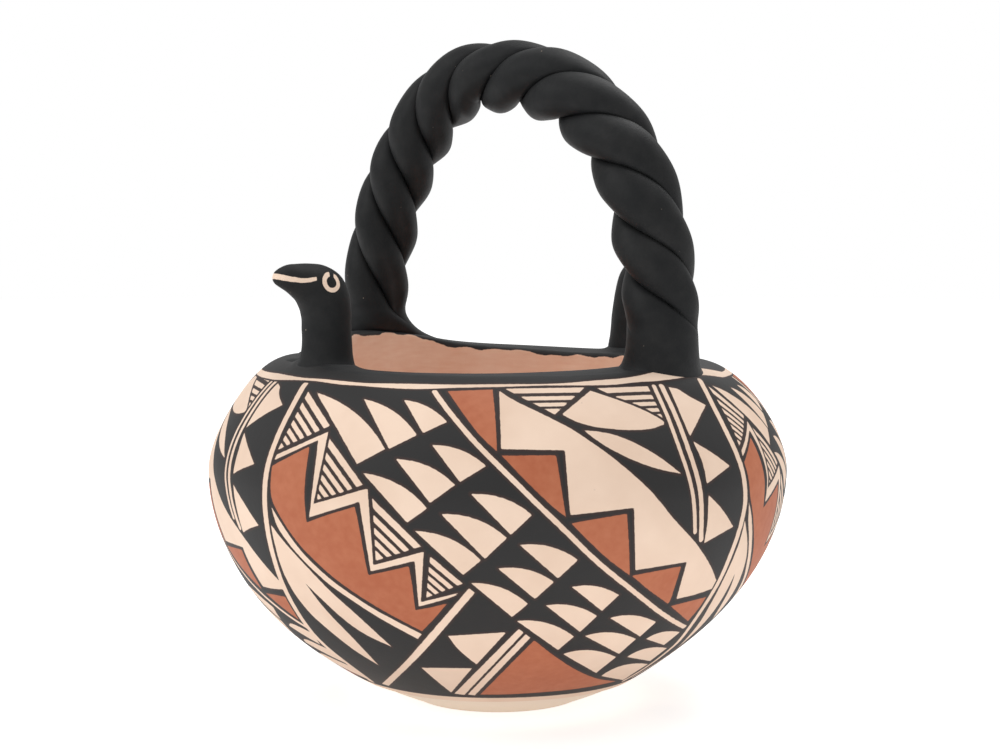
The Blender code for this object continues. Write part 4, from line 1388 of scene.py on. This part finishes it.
def charcoal(recipe):
    """The colour and the surface height of the matt black slip."""
    clouds = recipe.noise(55.0, 4.0, 0.6)
    patches = recipe.noise(260.0, 3.0, 0.55)
    worn = (clouds * 0.6 + patches * 0.4).ramp(0.42, 0.75)
    colour = recipe.blend(worn, CHARCOAL, CHARCOAL_WORN)
    pricks = recipe.specks(230.0, 0.045) * recipe.noise(90.0).ramp(0.54, 0.60)
    colour = recipe.blend(pricks * 0.8, colour, SPECK)
    grain = recipe.noise(2600.0, 2.0) * 0.3 + patches * 0.9 + clouds * 0.9
    return colour, grain


black = Recipe("charcoal_slip", 0.50, 0.16)
colour, grain = charcoal(black)
charcoal_material = black.finish(colour, grain, CHARCOAL_GRAIN)
for piece in (*strand_pieces, *foot_pieces, tail):
    piece.data.materials.append(charcoal_material)

# %% [markdown]
# The cream slip is fine white clay stroked on and rubbed with a stone, so it is smooth and slightly warm,
# with small grey specks. Paint areas are cut from the depths that the mesh keeps. A little noise is added
# to the depth first, which makes the edge waver as a fibre brush does, and where black is only a thin
# line, it is thinner paint and looks brown.

# %% Painted slip
CREAM = from_screen(246, 219, 197)
CREAM_DUSTY = from_screen(235, 206, 183)
ORANGE_PAINT = from_screen(178, 100, 68)
ORANGE_THIN = from_screen(191, 116, 83)
BLACK_FILL = from_screen(41, 40, 40)
BLACK_LINE = from_screen(60, 45, 42)
EDGE_SOFTNESS_MM = 0.07
EDGE_WAVER_MM = 0.30
PAINT_GRAIN = 0.00006


def painted(recipe):
    """Cream, orange and black by the depths kept in the mesh, and the surface height of the paint."""
    waver = (recipe.noise(700.0, 3.0, 0.6) - 0.5) * EDGE_WAVER_MM
    bare = recipe.attribute("bare_mm") + waver
    orange = recipe.attribute("orange_mm") - waver
    ink = 0.0 - bare.higher_of(orange)
    clouds = recipe.noise(48.0, 3.0, 0.55)
    brush = recipe.stretched_noise((420.0, 420.0, 420.0), 4.0)
    black_paint = recipe.blend(ink.ramp(0.25, 0.9), BLACK_LINE, BLACK_FILL)
    black_paint = recipe.blend((brush * 0.6 + clouds * 0.4).ramp(0.5, 0.75) * 0.5, black_paint, CHARCOAL_WORN)
    orange_paint = recipe.blend((clouds * 0.5 + brush * 0.5).ramp(0.35, 0.68), ORANGE_PAINT, ORANGE_THIN)
    cream = recipe.blend(clouds.ramp(0.35, 0.72), CREAM, CREAM_DUSTY)
    dust = recipe.specks(160.0, 0.05) * recipe.noise(70.0).ramp(0.50, 0.58)
    cream = recipe.blend(dust * 0.35, cream, BLACK_LINE)
    colour = recipe.blend(orange.ramp(-EDGE_SOFTNESS_MM, EDGE_SOFTNESS_MM), black_paint, orange_paint)
    colour = recipe.blend(bare.ramp(-EDGE_SOFTNESS_MM, EDGE_SOFTNESS_MM), colour, cream)
    grain = recipe.noise(2200.0, 2.0) * 0.3 + brush * 0.7
    return colour, grain


wall_recipe = Recipe("painted_slip", 0.58, 0.30)
colour, grain = painted(wall_recipe)
wall_material = wall_recipe.finish(colour, grain, PAINT_GRAIN)
for piece in wall_pieces:
    piece.data.materials.append(wall_material)

# %% [markdown]
# Inside, the clay is unslipped: a warm pink tan, scraped with a gourd rind. The foot is cream like the
# wall. The body keeps a number that is 1 on the inside wall, so one material serves both. Two materials
# on separate faces would do as well, but then the marks of the scraping would be written twice.

# %% Bare clay
CLAY = from_screen(240, 200, 174)
CLAY_DARK = from_screen(230, 178, 148)
CREAM_FOOT = from_screen(246, 229, 211)
CLAY_GRAIN = 0.00015


def bare_clay(recipe):
    """The colour and surface height of scraped clay."""
    clouds = recipe.noise(60.0, 5.0, 0.65)
    scrapes = recipe.stretched_noise((160.0, 160.0, 900.0), 3.0)
    mix = (clouds * 0.6 + scrapes * 0.4).ramp(0.35, 0.68)
    return recipe.blend(mix, CLAY, CLAY_DARK), clouds * 0.6 + scrapes * 0.8


clay_recipe = Recipe("bare_clay", 0.75, 0.25)
clay_colour, grain = bare_clay(clay_recipe)
clay_colour = clay_recipe.blend(clay_recipe.attribute("inside"), CREAM_FOOT, clay_colour)
clay_body.data.materials.append(clay_recipe.finish(clay_colour, grain, CLAY_GRAIN))

# %% [markdown]
# The shoulder and the bird wear charcoal slip over the clay, with an edge that is cut from a depth, as on
# the wall. On the lip the edge is frayed by a coarse noise, because the slip was dabbed on and dried
# there; on the bird it wavers only a little, because it was brushed.

# %% Slip edges on the lip and the bird
LIP_FRAY_MM = 1.1
BRUSH_WAVER_MM = 0.3
LIP_SOFTNESS_MM = 0.08

shoulder_recipe = Recipe("shoulder_slip", 0.62, 0.40)
black_colour, grain = charcoal(shoulder_recipe)
clay_colour, scrapes = bare_clay(shoulder_recipe)
frayed = (shoulder_recipe.noise(300.0, 2.5, 0.55) - 0.5) * LIP_FRAY_MM
below = (shoulder_recipe.attribute("below_slip_mm") + frayed).ramp(-LIP_SOFTNESS_MM, LIP_SOFTNESS_MM)
shoulder_colour = shoulder_recipe.blend(below, black_colour, clay_colour)
shoulder_grain = grain + scrapes * 0.4
shoulder_piece.data.materials.append(shoulder_recipe.finish(shoulder_colour, shoulder_grain, CHARCOAL_GRAIN))

bird_recipe = Recipe("bird_slip", 0.62, 0.18)
black_colour, grain = charcoal(bird_recipe)
waver = (bird_recipe.noise(900.0, 2.0, 0.6) - 0.5) * BRUSH_WAVER_MM
brushed = (bird_recipe.attribute("brushed_mm") + waver).ramp(-EDGE_SOFTNESS_MM, EDGE_SOFTNESS_MM)
bird_colour = bird_recipe.blend(brushed, black_colour, CREAM)
bird.data.materials.append(bird_recipe.finish(bird_colour, grain, CHARCOAL_GRAIN))

# %% [markdown]
# ## Light, floor and backdrop
# The object was photographed on white under big soft lights, a little brighter from the left. Square area
# lamps give such soft light. A small one inside the jar stands in for the light that the pale walls throw
# back and forth, which would otherwise take many more bounces.

# %% Lights
def round_the_eye(degrees_left, distance, height):
    """A place at an angle to the left of the camera, seen from the jar's axis."""
    return round_axis(distance, EYE_AZIMUTH - math.radians(degrees_left), height)


LIGHTS = [  # name, place, target, size and watts
    ("top_light", round_the_eye(-120, 0.18, 1.20), (0, 0, 0.08), 0.8, 4.0),
    ("rear_light", round_the_eye(-140, 0.70, 0.95), (0, 0, 0.12), 0.5, 2.0),
    ("inside_light", (0.010, -0.012, 0.055), (-0.020, 0.030, 0.100), 0.04, 0.010),
    ("left_light", round_the_eye(70, 0.95, 0.75), (0, 0, 0.07), 0.8, 3.1),
    ("low_light", round_the_eye(0, 0.60, 0.05), (0, 0, 0.03), 0.5, 0.08),
]


def area_light(name, place, target, size, watts):
    """A square area light at a place that faces a target."""
    data = bpy.data.lights.new(name, "AREA")
    data.shape = "SQUARE"
    data.size = size
    data.energy = watts
    light = bpy.data.objects.new(name, data)
    light.location = place
    away = np.array(place) - np.array(target)
    light.rotation_euler = (math.atan2(math.hypot(away[0], away[1]), away[2]), 0,
                            math.atan2(away[1], away[0]) + math.pi / 2)
    bpy.context.scene.collection.objects.link(light)


for light in LIGHTS:
    area_light(*light)
print(len(LIGHTS), "lights")

# %% [markdown]
# The camera sees a plain white world, but only a dimmer fill lights the clay: the world's strength is
# switched by whether a ray comes straight from the camera. A backdrop on a mesh would need its own light.

# %% The white world
WORLD_FILL = 0.62

world = bpy.data.worlds.new("white_world")
world.use_nodes = True
bpy.context.scene.world = world
tree = world.node_tree
background = tree.nodes["Background"]
path = tree.nodes.new("ShaderNodeLightPath")
seen = tree.nodes.new("ShaderNodeMapRange")
seen.inputs["To Min"].default_value = WORLD_FILL
seen.inputs["To Max"].default_value = 1.0
tree.links.new(path.outputs["Is Camera Ray"], seen.inputs["Value"])
background.inputs["Color"].default_value = (1, 1, 1, 1)
tree.links.new(seen.outputs[0], background.inputs["Strength"])

# %% [markdown]
# The floor is a plain pale disc that keeps the pot's shadow. It glows a little, more for the camera than
# for the clay, so that it reads as white round the shadow without lighting the belly from below.

# %% Floor
FLOOR_RADIUS = 3.0
FLOOR_SIDES = 96
FLOOR_DROP = 0.0002
FLOOR_WHITE = 0.88
FLOOR_GLOW = 0.30
GLOW_FOR_CAMERA = 0.30

turn = np.linspace(0, 2 * math.pi, FLOOR_SIDES, endpoint=False)
floor_mesh = bpy.data.meshes.new("floor")
rim = round_axis(FLOOR_RADIUS, turn, 0 * turn - FLOOR_DROP)
floor_mesh.from_pydata(rim.tolist(), [], [list(range(FLOOR_SIDES))])
floor = bpy.data.objects.new("floor", floor_mesh)
bpy.context.scene.collection.objects.link(floor)
floor_recipe = Recipe("floor_white", 0.9, 0.0)
floor_recipe.shader.inputs["Base Color"].default_value = (FLOOR_WHITE, FLOOR_WHITE, FLOOR_WHITE, 1.0)
glow = floor_recipe.node("ShaderNodeLightPath", out="Is Camera Ray") * GLOW_FOR_CAMERA + FLOOR_GLOW
floor_recipe.shader.inputs["Emission Strength"].default_value = 1.0
glow_colour = floor_recipe.blend(glow, (0, 0, 0, 1), (1, 1, 1, 1))
floor_recipe.tree.links.new(glow_colour.socket, floor_recipe.shader.inputs["Emission Color"])
floor_mesh.materials.append(floor_recipe.material)

bpy.context.scene.view_settings.view_transform = "Standard"
